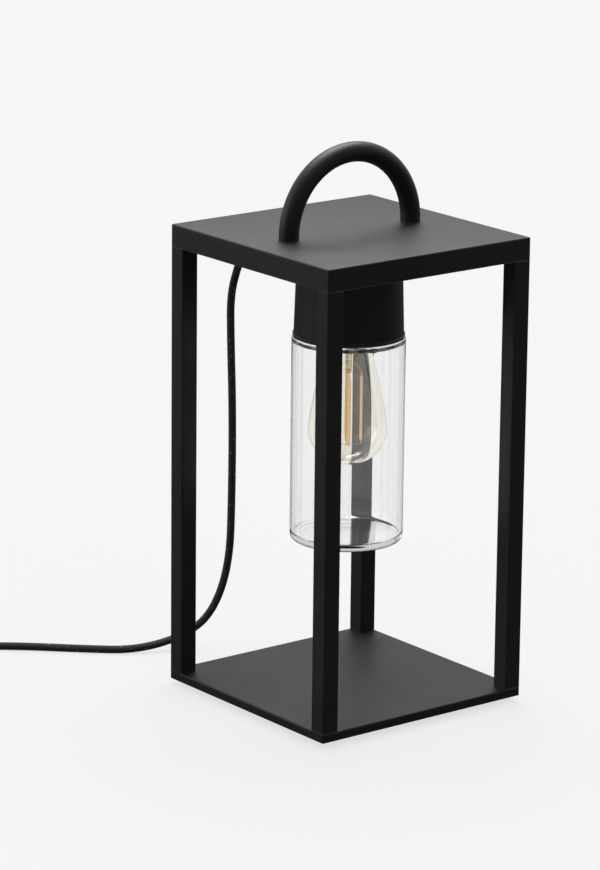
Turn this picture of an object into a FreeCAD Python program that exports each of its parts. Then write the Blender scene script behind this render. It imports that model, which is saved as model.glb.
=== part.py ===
import FreeCAD, Part
import math
import os

Vector = FreeCAD.Vector
UP = Vector(0, 0, 1)

# Lantern table lamp, in millimetres. The origin is on the surface that the lamp stands on,
# under the middle of its square base. +Z is up, the handle runs along X, the cord leaves at +Y.

# ---- frame: tray-shaped housing on top, four square posts, shallow pan below ----
plan_width = 200.0           # X, over the outer faces
plan_depth = 200.0           # Y, over the outer faces
frame_height = 375.0         # underside of the base pan to the top of the housing
housing_height = 18.0
base_height = 7.0
sheet = 1.5                  # steel sheet of the housing and the base
edge_round = 1.2             # outer edges after bending and grinding
flange_width = 25.0          # the housing's inturned lower flange, from its outer face
post_side = 15.0
post_wall = 1.5

# ---- plates that close the frame, and their screws ----
plate_thick = 1.5
plate_gap = 0.4              # cover plates stand this far inside what surrounds them
plate_corner = 3.0
screw_radius = 1.5           # M3
screw_play = 0.2
screw_head_radius = 2.9
screw_head_height = 2.0
screw_head_round = 0.8
recess_reach = 1.7           # arms of the cross recess, from its middle
recess_half = 0.4            # half the width of an arm
recess_depth = 1.0
thread_play = 0.05
plate_screw_length = 5.0
cover_screw_length = 5.0
plate_screw_inset = 20.0     # from the frame's outer face to the plate's screws
cover_screw_inset = 12.0     # from the frame's outer face to the base cover's screws
boss_radius = 4.0
past = 1.0                   # how far a cutting tool reaches past the face that it opens

# ---- rubber strips under the base ----
strip_length = 142.0
strip_width = 14.0
strip_height = 4.5
strip_inset = 10.4           # from the base's outer face to the strip's outer side
strip_corner = 3.0

# ---- carrying handle ----
handle_span = 121.0          # between the middles of its feet
handle_bar = 16.0            # diameter
handle_leg = 2.0             # straight part below the half circle
handle_screw_radius = 3.0    # M6
handle_screw_depth = 13.0    # length inside the foot
handle_head_radius = 5.5
handle_head_height = 3.6
handle_head_round = 1.0
handle_socket = 4.0          # hexagon socket, across its flats
handle_socket_depth = 2.2

# ---- cup that hides the lampholder ----
cup_length = 63.5
cup_top_radius = 41.6
cup_mouth_radius = 43.6
cup_wall = 2.0
cup_round = 1.5
cup_bead = 0.8               # rolled rim, radius of its half round
seal_height = 1.2
seal_gap = 0.3               # between the seal and the glass's shoulder
seal_lip = 0.3               # from the cup's inside to the seal's bore

# ---- clear glass cylinder, screwed into the cup by its neck ----
glass_radius = 45.0
glass_length = 165.5         # shoulder to the outside of the bottom
glass_wall = 3.0
glass_bottom = 5.0
glass_round = 6.0            # outer bottom edge
glass_inner_round = 4.5      # inner bottom edge
shoulder_round = 1.6
shoulder_rise = 3.0          # height over which the inside narrows to the neck
neck_height = 12.0
neck_play = 0.3              # between the neck's upper end and the cup
lip_round = 0.9

# ---- screw lampholder (E27) ----
holder_radius = 20.0
holder_length = 49.0
holder_wall = 2.5
holder_round = 6.0
holder_rim_round = 1.5
holder_split = 24.0          # from the mouth to the joint between skirt and dome
holder_lap = 7.5             # depth of the wide bore below that joint
shell_radius = 13.9          # outside of the threaded metal shell
shell_wall = 0.5
shell_height = 22.0
block_height = 8.0
block_play = 0.1
core_depth = 5.0             # depth of the block's two holes for the cores
contact_strip = 0.6          # thickness of the centre contact
contact_width = 5.0
contact_length = 13.0
contact_play = 0.5
bridge_width = 6.0           # tongue of the shell, bent inwards under the block
bridge_reach = 5.0
nipple_radius = 5.0          # M10 x 1 tube
nipple_bore = 3.6
nipple_above = 7.5           # how far it stands above the cover plate
nipple_grip = 6.0            # thread length inside the lampholder
nut_across = 14.0
nut_height = 3.0
washer_radius = 9.0
washer_thick = 1.0

# ---- filament bulb, 63 mm across ----
bulb_radius = 31.5
bulb_length = 140.0          # contact to the tip
bulb_end = 28.0              # height of the half ellipse that forms the round end
flank_low = 0.165            # heights of the flank's two poles, as shares of its height
flank_high = 0.70
flank_spread = 0.42          # the upper pole's radius, as a share of the way from neck to widest
quarter_pole = 0.5523        # pole of a quarter ellipse, as a share of its half axis
neck_in_cap = 6.0            # length of the neck inside the cap
bulb_skin = 0.6
bulb_neck_radius = 12.4
cap_radius = 13.1
cap_wall = 0.4
cap_length = 22.5
cap_shoulder = 3.0           # height of the insulator between the cap and the button
cap_opening = 6.0            # radius of the cap's opening round the insulator
cap_round = 1.2
button_radius = 4.0
button_height = 1.2
bulb_seat = 0.3              # between the bulb's contact and the lampholder's
stem_radius = 4.2
stem_length = 39.0
stem_top_radius = 2.2
stem_seat = 2.0              # height of the stem's flare inside the cap
stem_flange = 1.0
stem_play = 0.1
stem_flare_end = 5.0         # below the cap: end of the flare,
stem_taper_start = 14.0      # start
stem_taper_end = 20.0        # and end of the taper to the rod
filament_count = 4
filament_turn = -31.0        # degrees from X to the first filament
filament_circle = 10.7
filament_radius = 0.9
filament_length = 52.0
filament_drop = 69.0         # from the bulb's contact to the filaments' upper ends
wire_radius = 0.35
wire_foot = 6.0              # above the stem's tip, where the upper wires start
hub_drop = 4.0               # from the filaments' lower ends to the point where the lower wires meet

# ---- cord entry, clamp and terminals inside the housing ----
cord_diameter = 6.4
relief_drop = 9.0            # cord's height below the housing's top
relief_collar_radius = 6.2
relief_collar = 2.0
relief_flange = 2.0          # thickness of the part inside the wall
relief_neck_radius = 4.6
relief_neck_play = 0.2
relief_root_radius = 5.2
relief_tip_radius = 4.1
relief_bend = 26.0           # radius of the drooping nose
relief_turn = 45.0           # degrees that the nose droops
relief_steps = 4             # sections along the nose
relief_flange_inset = 0.3    # the flange is so much smaller than the collar
clamp_length = 9.0
clamp_width = 26.0
clamp_strap = 1.6
clamp_margin = 2.0           # from the housing's flange to the clamp
clamp_gap = 0.4              # between the saddle and the strap
clamp_floor = 2.0            # material left under the screw holes
clamp_head_radius = 2.6
clamp_head_height = 1.6
clamp_screw_spacing = 17.0
sheath_past_clamp = 3.5      # how far the cord's sheath reaches past the clamp
core_radius = 1.1
core_run = 12.0              # from the clamp to the terminal block
core_spread = 1.5            # from the cord's middle to each core
core_grip = 6.0              # length of a core inside the terminals
core_crest = 5.0             # height at which the cores pass over the threaded tube
core_rise = 16.0             # from the terminals to that height
core_bend = 2.5              # above the contact block, where they turn down into it
terminal_width = 18.0
terminal_length = 20.0
terminal_height = 12.0
terminal_bore = 1.3
terminal_spacing = 9.0
terminal_share = 0.45        # height of the bores, as a share of the block's height
terminal_corner = 1.0
well_radius = 1.7            # wells of the terminals' screws
well_depth = 2.5
well_offset = 5.0            # from the block's middle, along the cord

# ---- switch on the cord ----
switch_length = 62.0
switch_width = 24.0
switch_height = 18.0
switch_corner = 9.0
switch_round = 3.0
switch_wall = 1.8
switch_axis_height = 8.0     # cord above the surface where it enters the switch
switch_neck_radius = 5.0
switch_neck_length = 5.0
switch_neck_root = 3.0       # how far the neck reaches into the case
switch_neck_swell = 1.5      # its root is so much wider, its end so much slimmer
switch_neck_taper = 0.8
switch_foot_round = 1.0
switch_pocket_corner = 4.0
switch_screw_inset = 9.0     # from the end of the case to the screw
switch_screw_radius = 1.15
switch_head_radius = 2.1
switch_head_depth = 2.5
switch_head_height = 1.7
switch_roof = 5.0            # left above the screw holes
rocker_length = 21.0
rocker_width = 12.0
rocker_play = 0.5
rocker_throw = 14.0          # degrees between off and on
rocker_pivot_drop = 4.0      # pivot below the top of the case
rocker_rise = 2.4
pivot_radius = 1.3
pivot_play = 0.05
bearing_reach = 2.2          # depth of the pivot's bearings
rocker_belly = 3.2           # from the pivot down to the rocker's lower face
rocker_dip = 0.4             # middle of the rocker above the case
rocker_lean = 0.4            # its ends lean inwards by this
rocker_taper = 0.75          # its lower face, as a share of its length
blade_height = 4.0
blade_length = 4.0
blade_width = 6.0
blade_spread = 10.0          # from the pivot to each blade

# ---- two-pin plug, lying on its flat side ----
plug_width = 35.0
plug_thick = 14.0
plug_length = 36.0
plug_back_width = 17.0
plug_relief_length = 22.0
plug_relief_radius = 4.3
pin_radius = 2.0
pin_length = 19.0
pin_spacing = 18.6
sleeve_length = 10.0
sleeve_core_radius = 1.4
sleeve_inset = 0.05          # the sleeve is so much slimmer than the pin's tip
pin_root = 6.0               # how far the pin reaches into the plug
pin_nose = 1.2
plug_corner = 4.0
plug_waist = 0.55            # place of the plug's middle section, as a share of its length
plug_narrowing = 4.0         # how much narrower that section is than the face
plug_thinning = 2.4          # how much thinner the back is than the face
plug_cone_inset = 1.5
plug_overlap = 2.0

# ---- put-away coil of the cord ----
coil_turns = 4
coil_radius = 38.0           # middle of the turns
coil_step = 7.0              # from one turn or layer to the next
coil_x = -304.0
coil_y = 188.0

# ---- levels and places that follow from the sizes above ----
base_bottom = strip_height
base_top = base_bottom + base_height
housing_top = base_bottom + frame_height
housing_bottom = housing_top - housing_height
plate_bottom = housing_bottom - plate_thick
post_x = plan_width / 2 - post_side / 2
post_y = plan_depth / 2 - post_side / 2
cup_mouth = plate_bottom - cup_length
glass_shoulder = cup_mouth - seal_height - seal_gap
holder_mouth = plate_bottom - cup_wall - holder_length
block_bottom = holder_mouth + shell_height + cap_wall
bulb_contact_top = block_bottom - bulb_seat
cord_radius = cord_diameter / 2
entry_height = housing_top - relief_drop
back_wall = plan_depth / 2
relief_start = back_wall + relief_collar
relief_droop = math.radians(relief_turn)
clamp_middle = back_wall - flange_width - clamp_margin - clamp_length / 2
sheath_end = clamp_middle - clamp_length / 2 - sheath_past_clamp
terminal_middle = clamp_middle - clamp_length / 2 - core_run - terminal_length / 2
terminal_level = housing_bottom + terminal_height * terminal_share


def relief_point(turn):
    """Point on the middle line of the drooping nose."""
    return Vector(
        0,
        relief_start + relief_bend * math.sin(turn),
        entry_height - relief_bend * (1 - math.cos(turn)),
    )


def relief_direction(turn):
    return Vector(0, math.cos(turn), -math.sin(turn))


def box(low, high):
    """Block between two corners, each given as (x, y, z)."""
    size = [b - a for a, b in zip(low, high)]
    return Part.makeBox(size[0], size[1], size[2], Vector(*low))


def slab(width, depth, low, high, corner=0.0):
    """Plate centred on the Z axis, with rounded upright edges where a corner radius is given."""
    body = box((-width / 2, -depth / 2, low), (width / 2, depth / 2, high))
    return body.makeFillet(corner, upright_edges(body)) if corner > 0 else body


def upright_edges(body):
    """Straight edges along Z."""
    found = []
    for edge in body.Edges:
        first, last = edge.Vertexes[0].Point, edge.Vertexes[-1].Point
        if (first - last).Length > 0.01 and (first - last).cross(UP).Length < 1e-6:
            found.append(edge)
    return found


def edges_at_height(body, height):
    """Edges that lie in one level plane."""
    return [
        edge
        for edge in body.Edges
        if abs(edge.BoundBox.ZMin - height) < 1e-4 and abs(edge.BoundBox.ZMax - height) < 1e-4
    ]


def cylinder(radius, low, high, x=0.0, y=0.0):
    return Part.makeCylinder(radius, high - low, Vector(x, y, low), UP)


def rod(radius, start, end):
    """Round rod between two points."""
    return Part.makeCylinder(radius, (end - start).Length, start, end - start)


def revolve(points):
    """Solid turned about the Z axis from (radius, height) points."""
    outline = [Vector(radius, 0, height) for radius, height in points]
    face = Part.Face(Part.makePolygon(outline + [outline[0]]))
    return face.revolve(Vector(0, 0, 0), UP, 360)


def curve(poles):
    """Smooth edge in the XZ plane from its (radius, height) poles."""
    line = Part.BezierCurve()
    line.setPoles([Vector(radius, 0, height) for radius, height in poles])
    return line.toShape()


def corners(x, y):
    """The four places at plus and minus x and y."""
    return [(-x, -y), (x, -y), (-x, y), (x, y)]


def rounded_route(points):
    """Straight runs joined by tangent arcs, as edges, with the arcs' radii."""
    edges = []
    radii = []
    start = points[0]
    for before, corner, after in zip(points, points[1:], points[2:]):
        back = (before - corner).normalize()
        ahead = (after - corner).normalize()
        half_turn = (math.pi - back.getAngle(ahead)) / 2
        shorter = min((before - corner).Length, (after - corner).Length)
        trim = 0.45 * shorter
        radius = trim / math.tan(half_turn)
        enter = corner + back * trim
        leave = corner + ahead * trim
        bisector = (back + ahead).normalize()
        middle = corner + bisector * (radius / math.cos(half_turn) - radius)
        edges.append(Part.LineSegment(start, enter).toShape())
        edges.append(Part.Arc(enter, middle, leave).toShape())
        radii.append(radius)
        start = leave
    edges.append(Part.LineSegment(start, points[-1]).toShape())
    return edges, radii


def tube(edges, radius):
    """Round solid along joined edges."""
    path = Part.Wire(edges)
    first = path.OrderedEdges[0]
    direction = first.tangentAt(first.FirstParameter)
    ring = Part.Wire([Part.makeCircle(radius, first.valueAt(first.FirstParameter), direction)])
    return path.makePipeShell([ring], True, False)


def wire_run(points, radius=core_radius):
    """Insulated core or bare wire along a few points."""
    return tube(rounded_route([Vector(*point) for point in points])[0], radius)


def pan_head_screw(x, y, seat, length):
    """M3 screw driven upwards, its head under the given level, with a cross recess."""
    head = cylinder(screw_head_radius, seat - screw_head_height, seat, x, y)
    bottom = seat - screw_head_height
    head = head.makeFillet(screw_head_round, edges_at_height(head, bottom))
    screw = head.fuse(cylinder(screw_radius, seat, seat + length, x, y))
    for width, depth in ((recess_reach, recess_half), (recess_half, recess_reach)):
        cut = box((x - width, y - depth, bottom), (x + width, y + depth, bottom + recess_depth))
        screw = screw.cut(cut)
    return screw.removeSplitter()


def make_top_housing():
    """Folded tray with an inturned flange; the flange carries the cover plate."""
    body = slab(plan_width, plan_depth, housing_bottom, housing_top)
    body = body.makeFillet(edge_round, upright_edges(body) + edges_at_height(body, housing_top))
    inner_width = plan_width - 2 * sheet
    inner_depth = plan_depth - 2 * sheet
    body = body.cut(slab(inner_width, inner_depth, housing_bottom + sheet, housing_top - sheet))
    opening_width = plan_width - 2 * flange_width
    opening_depth = plan_depth - 2 * flange_width
    flange_top = housing_bottom + sheet
    low, high = housing_bottom - past, flange_top + past
    body = body.cut(slab(opening_width, opening_depth, low, high, plate_corner))
    holes = [
        cylinder(screw_radius + thread_play, low, high, x, y)
        for x, y in plate_screw_places()
    ]
    holes += [
        cylinder(handle_screw_radius + screw_play, housing_top - sheet - past, housing_top + past, x)
        for x in (-handle_span / 2, handle_span / 2)
    ]
    entry_start = Vector(0, back_wall - sheet - past, entry_height)
    entry_end = Vector(0, back_wall + past, entry_height)
    holes.append(rod(relief_neck_radius + relief_neck_play, entry_start, entry_end))
    return body.cut(Part.makeCompound(holes))


def plate_screw_places():
    return corners(plan_width / 2 - plate_screw_inset, plan_depth / 2 - plate_screw_inset)


def cover_screw_places():
    return corners(plan_width / 2 - cover_screw_inset, plan_depth / 2 - cover_screw_inset)


def post_block(side_x, side_y, low, high):
    """The post's outside between two levels."""
    x, y = side_x * post_x, side_y * post_y
    half = post_side / 2
    body = box((x - half, y - half, low), (x + half, y + half, high))
    return body.makeFillet(edge_round, upright_edges(body))


def make_post(side_x, side_y):
    """Square tube between base and housing, its outer corner rounded like theirs."""
    x, y = side_x * post_x, side_y * post_y
    bore = post_side / 2 - post_wall
    body = post_block(side_x, side_y, base_top, housing_bottom)
    return body.cut(box((x - bore, y - bore, base_top - past), (x + bore, y + bore, housing_bottom + past)))


def make_base_pan():
    """Shallow inverted tray, flush with the posts, with four bosses for the base cover's screws."""
    body = slab(plan_width, plan_depth, base_bottom, base_top)
    body = body.makeFillet(edge_round, upright_edges(body) + edges_at_height(body, base_top))
    for side_x, side_y in corners(1, 1):
        body = body.fuse(post_block(side_x, side_y, base_top - edge_round, base_top))
    body = body.removeSplitter()
    inner_width = plan_width - 2 * sheet
    inner_depth = plan_depth - 2 * sheet
    body = body.cut(slab(inner_width, inner_depth, base_bottom - past, base_top - sheet))
    boss_bottom = base_bottom + plate_thick
    for x, y in cover_screw_places():
        body = body.fuse(cylinder(boss_radius, boss_bottom, base_top - sheet, x, y))
    hole_top = base_bottom + cover_screw_length + thread_play
    for x, y in cover_screw_places():
        body = body.cut(cylinder(screw_radius + thread_play, boss_bottom - past, hole_top, x, y))
    return body


def make_base_cover():
    """Flat plate that closes the base from below."""
    width = plan_width - 2 * sheet - 2 * plate_gap
    depth = plan_depth - 2 * sheet - 2 * plate_gap
    low, high = base_bottom, base_bottom + plate_thick
    body = slab(width, depth, low, high)
    for x, y in cover_screw_places():
        body = body.cut(cylinder(screw_radius + screw_play, low - past, high + past, x, y))
    return body


def make_foot_strip(side_y):
    """Rubber strip along the front or back edge of the base."""
    strip = slab(strip_length, strip_width, 0, strip_height, strip_corner)
    strip.translate(Vector(0, side_y * (plan_depth / 2 - strip_inset - strip_width / 2), 0))
    return strip


def make_cover_plate():
    """Plate between the posts; it carries the cup, the lampholder and the terminals."""
    width = plan_width - 2 * post_side - 2 * plate_gap
    depth = plan_depth - 2 * post_side - 2 * plate_gap
    body = slab(width, depth, plate_bottom, housing_bottom, plate_corner)
    holes = [
        cylinder(screw_radius + screw_play, plate_bottom - past, housing_bottom + past, x, y)
        for x, y in plate_screw_places()
    ]
    holes.append(cylinder(nipple_radius + screw_play, plate_bottom - past, housing_bottom + past))
    return body.cut(Part.makeCompound(holes))


def make_handle():
    """Round bar bent to a half circle, with a tapped hole in each foot."""
    bend = handle_span / 2
    centre = Vector(0, 0, housing_top + handle_leg)
    ring = Part.Face(Part.Wire([Part.makeCircle(handle_bar / 2, centre + Vector(bend, 0, 0), UP)]))
    body = ring.revolve(centre, Vector(0, -1, 0), 180)
    for x in (-bend, bend):
        body = body.fuse(cylinder(handle_bar / 2, housing_top, housing_top + handle_leg, x))
    body = body.removeSplitter()
    for x in (-bend, bend):
        top = housing_top + handle_screw_depth + past
        body = body.cut(cylinder(handle_screw_radius + thread_play, housing_top - past, top, x))
    return body


def make_handle_screws():
    """Two M6 screws, up through the housing's top sheet into the handle's feet."""
    screws = []
    for x in (-handle_span / 2, handle_span / 2):
        seat = housing_top - sheet
        bottom = seat - handle_head_height
        head = cylinder(handle_head_radius, bottom, seat, x)
        head = head.makeFillet(handle_head_round, edges_at_height(head, bottom))
        socket = hexagon(handle_socket, bottom - past, bottom + handle_socket_depth, x)
        shank = cylinder(handle_screw_radius, seat, housing_top + handle_screw_depth, x)
        screws.append(head.cut(socket).fuse(shank).removeSplitter())
    return Part.makeCompound(screws)


def hexagon(across, low, high, x=0.0, y=0.0):
    """Six-sided prism, sized across its flats."""
    reach = across / math.sqrt(3)
    turns = [math.radians(60 * k) for k in range(7)]
    points = [Vector(x + reach * math.cos(turn), y + reach * math.sin(turn), low) for turn in turns]
    return Part.Face(Part.makePolygon(points)).extrude(Vector(0, 0, high - low))


def cup_radius(height):
    """Outside of the flared cup at a level."""
    share = (plate_bottom - height) / cup_length
    return cup_top_radius + (cup_mouth_radius - cup_top_radius) * share


def make_cup():
    """Slightly flared drawn cup with a rolled rim at its mouth."""
    roof = plate_bottom - cup_wall
    body = revolve(
        [(0, plate_bottom), (cup_top_radius, plate_bottom), (cup_mouth_radius, cup_mouth), (0, cup_mouth)]
    )
    body = body.makeFillet(cup_round, edges_at_height(body, plate_bottom))
    mouth = cup_mouth_radius - cup_wall
    hollow = revolve(
        [
            (0, roof),
            (cup_radius(roof) - cup_wall, roof),
            (mouth, cup_mouth),
            (mouth, cup_mouth - past),
            (0, cup_mouth - past),
        ]
    )
    bead = Part.makeTorus(cup_mouth_radius, cup_bead, Vector(0, 0, cup_mouth + cup_bead), UP)
    body = body.fuse(bead).cut(hollow)
    bore = cylinder(nipple_radius + screw_play, roof - past, plate_bottom + past)
    return body.cut(bore).removeSplitter()


def make_seal():
    """Flat sealing ring at the cup's mouth, against which the glass's shoulder turns home."""
    bore = cup_mouth_radius - cup_wall + seal_lip
    ring = cylinder(cup_mouth_radius, cup_mouth - seal_height, cup_mouth)
    return ring.cut(cylinder(bore, cup_mouth - seal_height - past, cup_mouth + past))


def make_glass():
    """Blown glass: neck, shoulder, straight wall and a heavy rounded bottom."""
    lip = glass_shoulder + neck_height
    neck = cup_radius(lip) - cup_wall - neck_play
    bottom = glass_shoulder - glass_length
    body = cylinder(glass_radius, bottom, glass_shoulder)
    body = body.makeFillet(glass_round, edges_at_height(body, bottom))
    body = body.makeFillet(shoulder_round, edges_at_height(body, glass_shoulder))
    body = body.fuse(cylinder(neck, glass_shoulder - past, lip))
    floor = bottom + glass_bottom
    inside = glass_radius - glass_wall
    slope_end = glass_shoulder - past
    slope_start = slope_end - shoulder_rise
    hollow = cylinder(inside, floor, slope_start)
    hollow = hollow.makeFillet(glass_inner_round, edges_at_height(hollow, floor))
    slope = revolve(
        [
            (0, slope_start),
            (inside, slope_start),
            (neck - glass_wall, slope_end),
            (neck - glass_wall, lip + past),
            (0, lip + past),
        ]
    )
    body = body.cut(hollow.fuse(slope)).removeSplitter()
    return body.makeFillet(lip_round, edges_at_height(body, lip))


def make_holder_skirt():
    """Lower half of the lampholder, open below for the bulb's cap."""
    split = holder_mouth + holder_split
    body = cylinder(holder_radius, holder_mouth, split)
    body = body.makeFillet(holder_rim_round, edges_at_height(body, holder_mouth))
    body = body.cut(cylinder(holder_radius - holder_wall, split - holder_lap, split + past))
    return body.cut(cylinder(shell_radius + block_play, holder_mouth - past, split + past))


def make_holder_dome():
    """Upper half, screwed on the threaded tube against the inside of the cup."""
    split = holder_mouth + holder_split
    top = holder_mouth + holder_length
    body = cylinder(holder_radius, split, top)
    body = body.makeFillet(holder_round, edges_at_height(body, top))
    roof = top - nipple_grip
    hollow = cylinder(holder_radius - holder_wall, split - past, roof)
    hollow = hollow.makeFillet(holder_round - holder_wall, edges_at_height(hollow, roof))
    return body.cut(hollow).cut(cylinder(nipple_radius + thread_play, roof - past, top + past))


def make_contact_block():
    """Insulating block that carries the threaded shell and the contacts."""
    radius = holder_radius - holder_wall - block_play
    body = cylinder(radius, block_bottom, block_bottom + block_height)
    top = block_bottom + block_height
    for x in (-terminal_spacing, terminal_spacing):
        body = body.cut(cylinder(core_radius + block_play, top - core_depth, top + past, x))
    half_width = contact_width / 2 + contact_play
    half_length = contact_length / 2 + contact_play
    low = (-half_width, -half_length, block_bottom - past)
    return body.cut(box(low, (half_width, half_length, block_bottom + contact_strip)))


def make_screw_shell():
    """Thin metal shell that takes the bulb's cap."""
    low = block_bottom - shell_height
    bore = cylinder(shell_radius - shell_wall, low - past, block_bottom + past)
    shell = cylinder(shell_radius, low, block_bottom).cut(bore)
    half = bridge_width / 2
    inner = (-half, shell_radius - bridge_reach, block_bottom - shell_wall)
    bridge = box(inner, (half, shell_radius, block_bottom))
    bridge = bridge.common(cylinder(shell_radius, low, block_bottom))
    return shell.fuse(bridge).removeSplitter()


def make_centre_contact():
    """Sprung strip above the bulb's contact."""
    return slab(contact_width, contact_length, block_bottom, block_bottom + contact_strip)


def make_nipple():
    """Threaded tube that clamps lampholder, cup and cover plate together."""
    low = holder_mouth + holder_length - nipple_grip
    high = housing_bottom + nipple_above
    return cylinder(nipple_radius, low, high).cut(cylinder(nipple_bore, low - past, high + past))


def make_nipple_nut():
    low = housing_bottom + washer_thick
    bore = cylinder(nipple_radius + thread_play, low - past, low + nut_height + past)
    return hexagon(nut_across, low, low + nut_height).cut(bore)


def make_nipple_washer():
    top = housing_bottom + washer_thick
    ring = cylinder(washer_radius, housing_bottom, top)
    return ring.cut(cylinder(nipple_radius + screw_play, housing_bottom - past, top + past))


def bulb_levels():
    """Heights of the cap's lower rim and of the bulb's widest level."""
    rim = bulb_contact_top - button_height - cap_shoulder - cap_length
    middle = bulb_contact_top - bulb_length + bulb_end
    return rim, middle


def bulb_solid(inset, top):
    """Pear turned from a neck, a long smooth flank and half an ellipse, drawn in by the inset."""
    rim, middle = bulb_levels()
    radius, neck, end = bulb_radius - inset, bulb_neck_radius - inset, bulb_end - inset
    height = rim - middle
    flank = curve(
        [
            (neck, rim),
            (neck + flank_spread * (radius - neck), middle + flank_high * height),
            (radius, middle + flank_low * height),
            (radius, middle),
        ]
    )
    round_end = curve(
        [
            (radius, middle),
            (radius, middle - quarter_pole * end),
            (quarter_pole * radius, middle - end),
            (0, middle - end),
        ]
    )
    edges = [
        Part.LineSegment(Vector(0, 0, top), Vector(neck, 0, top)).toShape(),
        Part.LineSegment(Vector(neck, 0, top), Vector(neck, 0, rim)).toShape(),
        flank,
        round_end,
        Part.LineSegment(Vector(0, 0, middle - end), Vector(0, 0, top)).toShape(),
    ]
    return Part.Face(Part.Wire(edges)).revolve(Vector(0, 0, 0), UP, 360)


def make_bulb_glass():
    """Thin pear-shaped envelope, open where the stem closes it inside the cap."""
    rim, _ = bulb_levels()
    top = rim + neck_in_cap
    return bulb_solid(0, top).cut(bulb_solid(bulb_skin, top + past))


def make_bulb_cap():
    """Metal cap with its threaded wall left plain."""
    rim, _ = bulb_levels()
    top = rim + cap_length
    outer = cylinder(cap_radius, rim, top)
    outer = outer.makeFillet(cap_round, edges_at_height(outer, top))
    inner = cylinder(cap_radius - cap_wall, rim - past, top - cap_wall)
    return outer.cut(inner).cut(cylinder(cap_opening, top - cap_wall - past, top + past))


def make_bulb_insulator():
    """Dark insulating cone between the cap and the contact button."""
    rim, _ = bulb_levels()
    low = rim + cap_length - cap_wall
    high = bulb_contact_top - button_height
    return revolve(
        [(0, low), (cap_opening, low), (cap_opening, low + cap_wall), (button_radius, high), (0, high)]
    )


def make_bulb_button():
    button = cylinder(button_radius, bulb_contact_top - button_height, bulb_contact_top)
    return button.makeFillet(button_height / 2, edges_at_height(button, bulb_contact_top))


def stem_tip():
    rim, _ = bulb_levels()
    return rim + stem_seat - stem_length


def make_bulb_stem():
    """Glass stem: a flare that closes the envelope and a rod that carries the filaments."""
    rim, _ = bulb_levels()
    flare = bulb_neck_radius - bulb_skin - stem_play
    seat = rim + stem_seat
    tip = stem_tip()
    return revolve(
        [
            (0, seat + stem_flange),
            (flare, seat + stem_flange),
            (flare, seat),
            (stem_radius, rim - stem_flare_end),
            (stem_radius, rim - stem_taper_start),
            (stem_top_radius, rim - stem_taper_end),
            (stem_top_radius, tip),
            (0, tip),
        ]
    )


def filament_places():
    """Each filament's direction from the bulb's axis."""
    turns = [math.radians(360 / filament_count * k + filament_turn) for k in range(filament_count)]
    return [(math.cos(turn), math.sin(turn)) for turn in turns]


def make_filaments():
    """Straight light-emitting rods in a ring."""
    top = bulb_contact_top - filament_drop
    return Part.makeCompound(
        [
            cylinder(filament_radius, top - filament_length, top, x * filament_circle, y * filament_circle)
            for x, y in filament_places()
        ]
    )


def make_filament_wires():
    """Upper and lower support wires from the stem to each filament's ends."""
    top = bulb_contact_top - filament_drop
    bottom = top - filament_length
    anchor = stem_tip()
    hub = bottom - hub_drop
    wires = [rod(stem_top_radius / 2, Vector(0, 0, anchor), Vector(0, 0, hub))]
    for x, y in filament_places():
        outer_top = Vector(x * filament_circle, y * filament_circle, top)
        outer_bottom = Vector(x * filament_circle, y * filament_circle, bottom)
        foot = Vector(x * stem_top_radius, y * stem_top_radius, anchor + wire_foot)
        wires.append(rod(wire_radius, foot, outer_top))
        wires.append(rod(wire_radius, Vector(0, 0, hub), outer_bottom))
    joined = wires[0].fuse(wires[1:])
    return joined.cut(make_bulb_stem()).cut(make_filaments())


def make_strain_relief():
    """Moulded bush: flange inside, neck through the wall, collar and a drooping tapered nose."""
    rings = []
    for k in range(relief_steps + 1):
        turn = relief_droop * k / relief_steps
        radius = relief_root_radius + (relief_tip_radius - relief_root_radius) * k / relief_steps
        rings.append(Part.Wire([Part.makeCircle(radius, relief_point(turn), relief_direction(turn))]))
    nose = Part.makeLoft(rings, True, False)
    inner_face = Vector(0, back_wall - sheet, entry_height)
    outer_face = Vector(0, back_wall, entry_height)
    collar = rod(relief_collar_radius, outer_face, Vector(0, relief_start, entry_height))
    neck = rod(relief_neck_radius, inner_face, outer_face)
    flange_radius = relief_collar_radius - relief_flange_inset
    flange = rod(flange_radius, inner_face - Vector(0, relief_flange, 0), inner_face)
    return nose.fuse([collar, neck, flange]).removeSplitter()


def make_inner_cord():
    """The cord's sheath from the strain relief through the clamp."""
    back = back_wall - sheet - relief_flange
    return rod(cord_radius, Vector(0, sheath_end, entry_height), Vector(0, back, entry_height))


def make_clamp_base():
    """Lower saddle of the cord clamp, standing on the cover plate."""
    low = (-clamp_width / 2, clamp_middle - clamp_length / 2, housing_bottom)
    body = box(low, (clamp_width / 2, clamp_middle + clamp_length / 2, entry_height - clamp_gap))
    return body.cut(clamp_bore()).cut(Part.makeCompound(clamp_screw_holes()))


def clamp_bore():
    reach = Vector(0, clamp_length / 2 + past, 0)
    middle = Vector(0, clamp_middle, entry_height)
    return rod(cord_radius + thread_play, middle - reach, middle + reach)


def clamp_screw_holes():
    return [
        cylinder(screw_radius + thread_play, housing_bottom + clamp_floor, housing_top, x, clamp_middle)
        for x in (-clamp_screw_spacing / 2, clamp_screw_spacing / 2)
    ]


def make_clamp_strap():
    """Strap over the cord, drawn down by two screws."""
    y = clamp_middle
    half = clamp_length / 2
    side = clamp_width / 2
    ears = box((-side, y - half, entry_height), (side, y + half, entry_height + clamp_strap))
    front, back = Vector(0, y - half, entry_height), Vector(0, y + half, entry_height)
    crown = rod(cord_radius + clamp_strap, front, back)
    below = box((-side, y - half - past, housing_bottom), (side, y + half + past, entry_height))
    body = ears.fuse(crown.cut(below)).cut(clamp_bore())
    return body.cut(Part.makeCompound(clamp_screw_holes())).removeSplitter()


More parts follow.
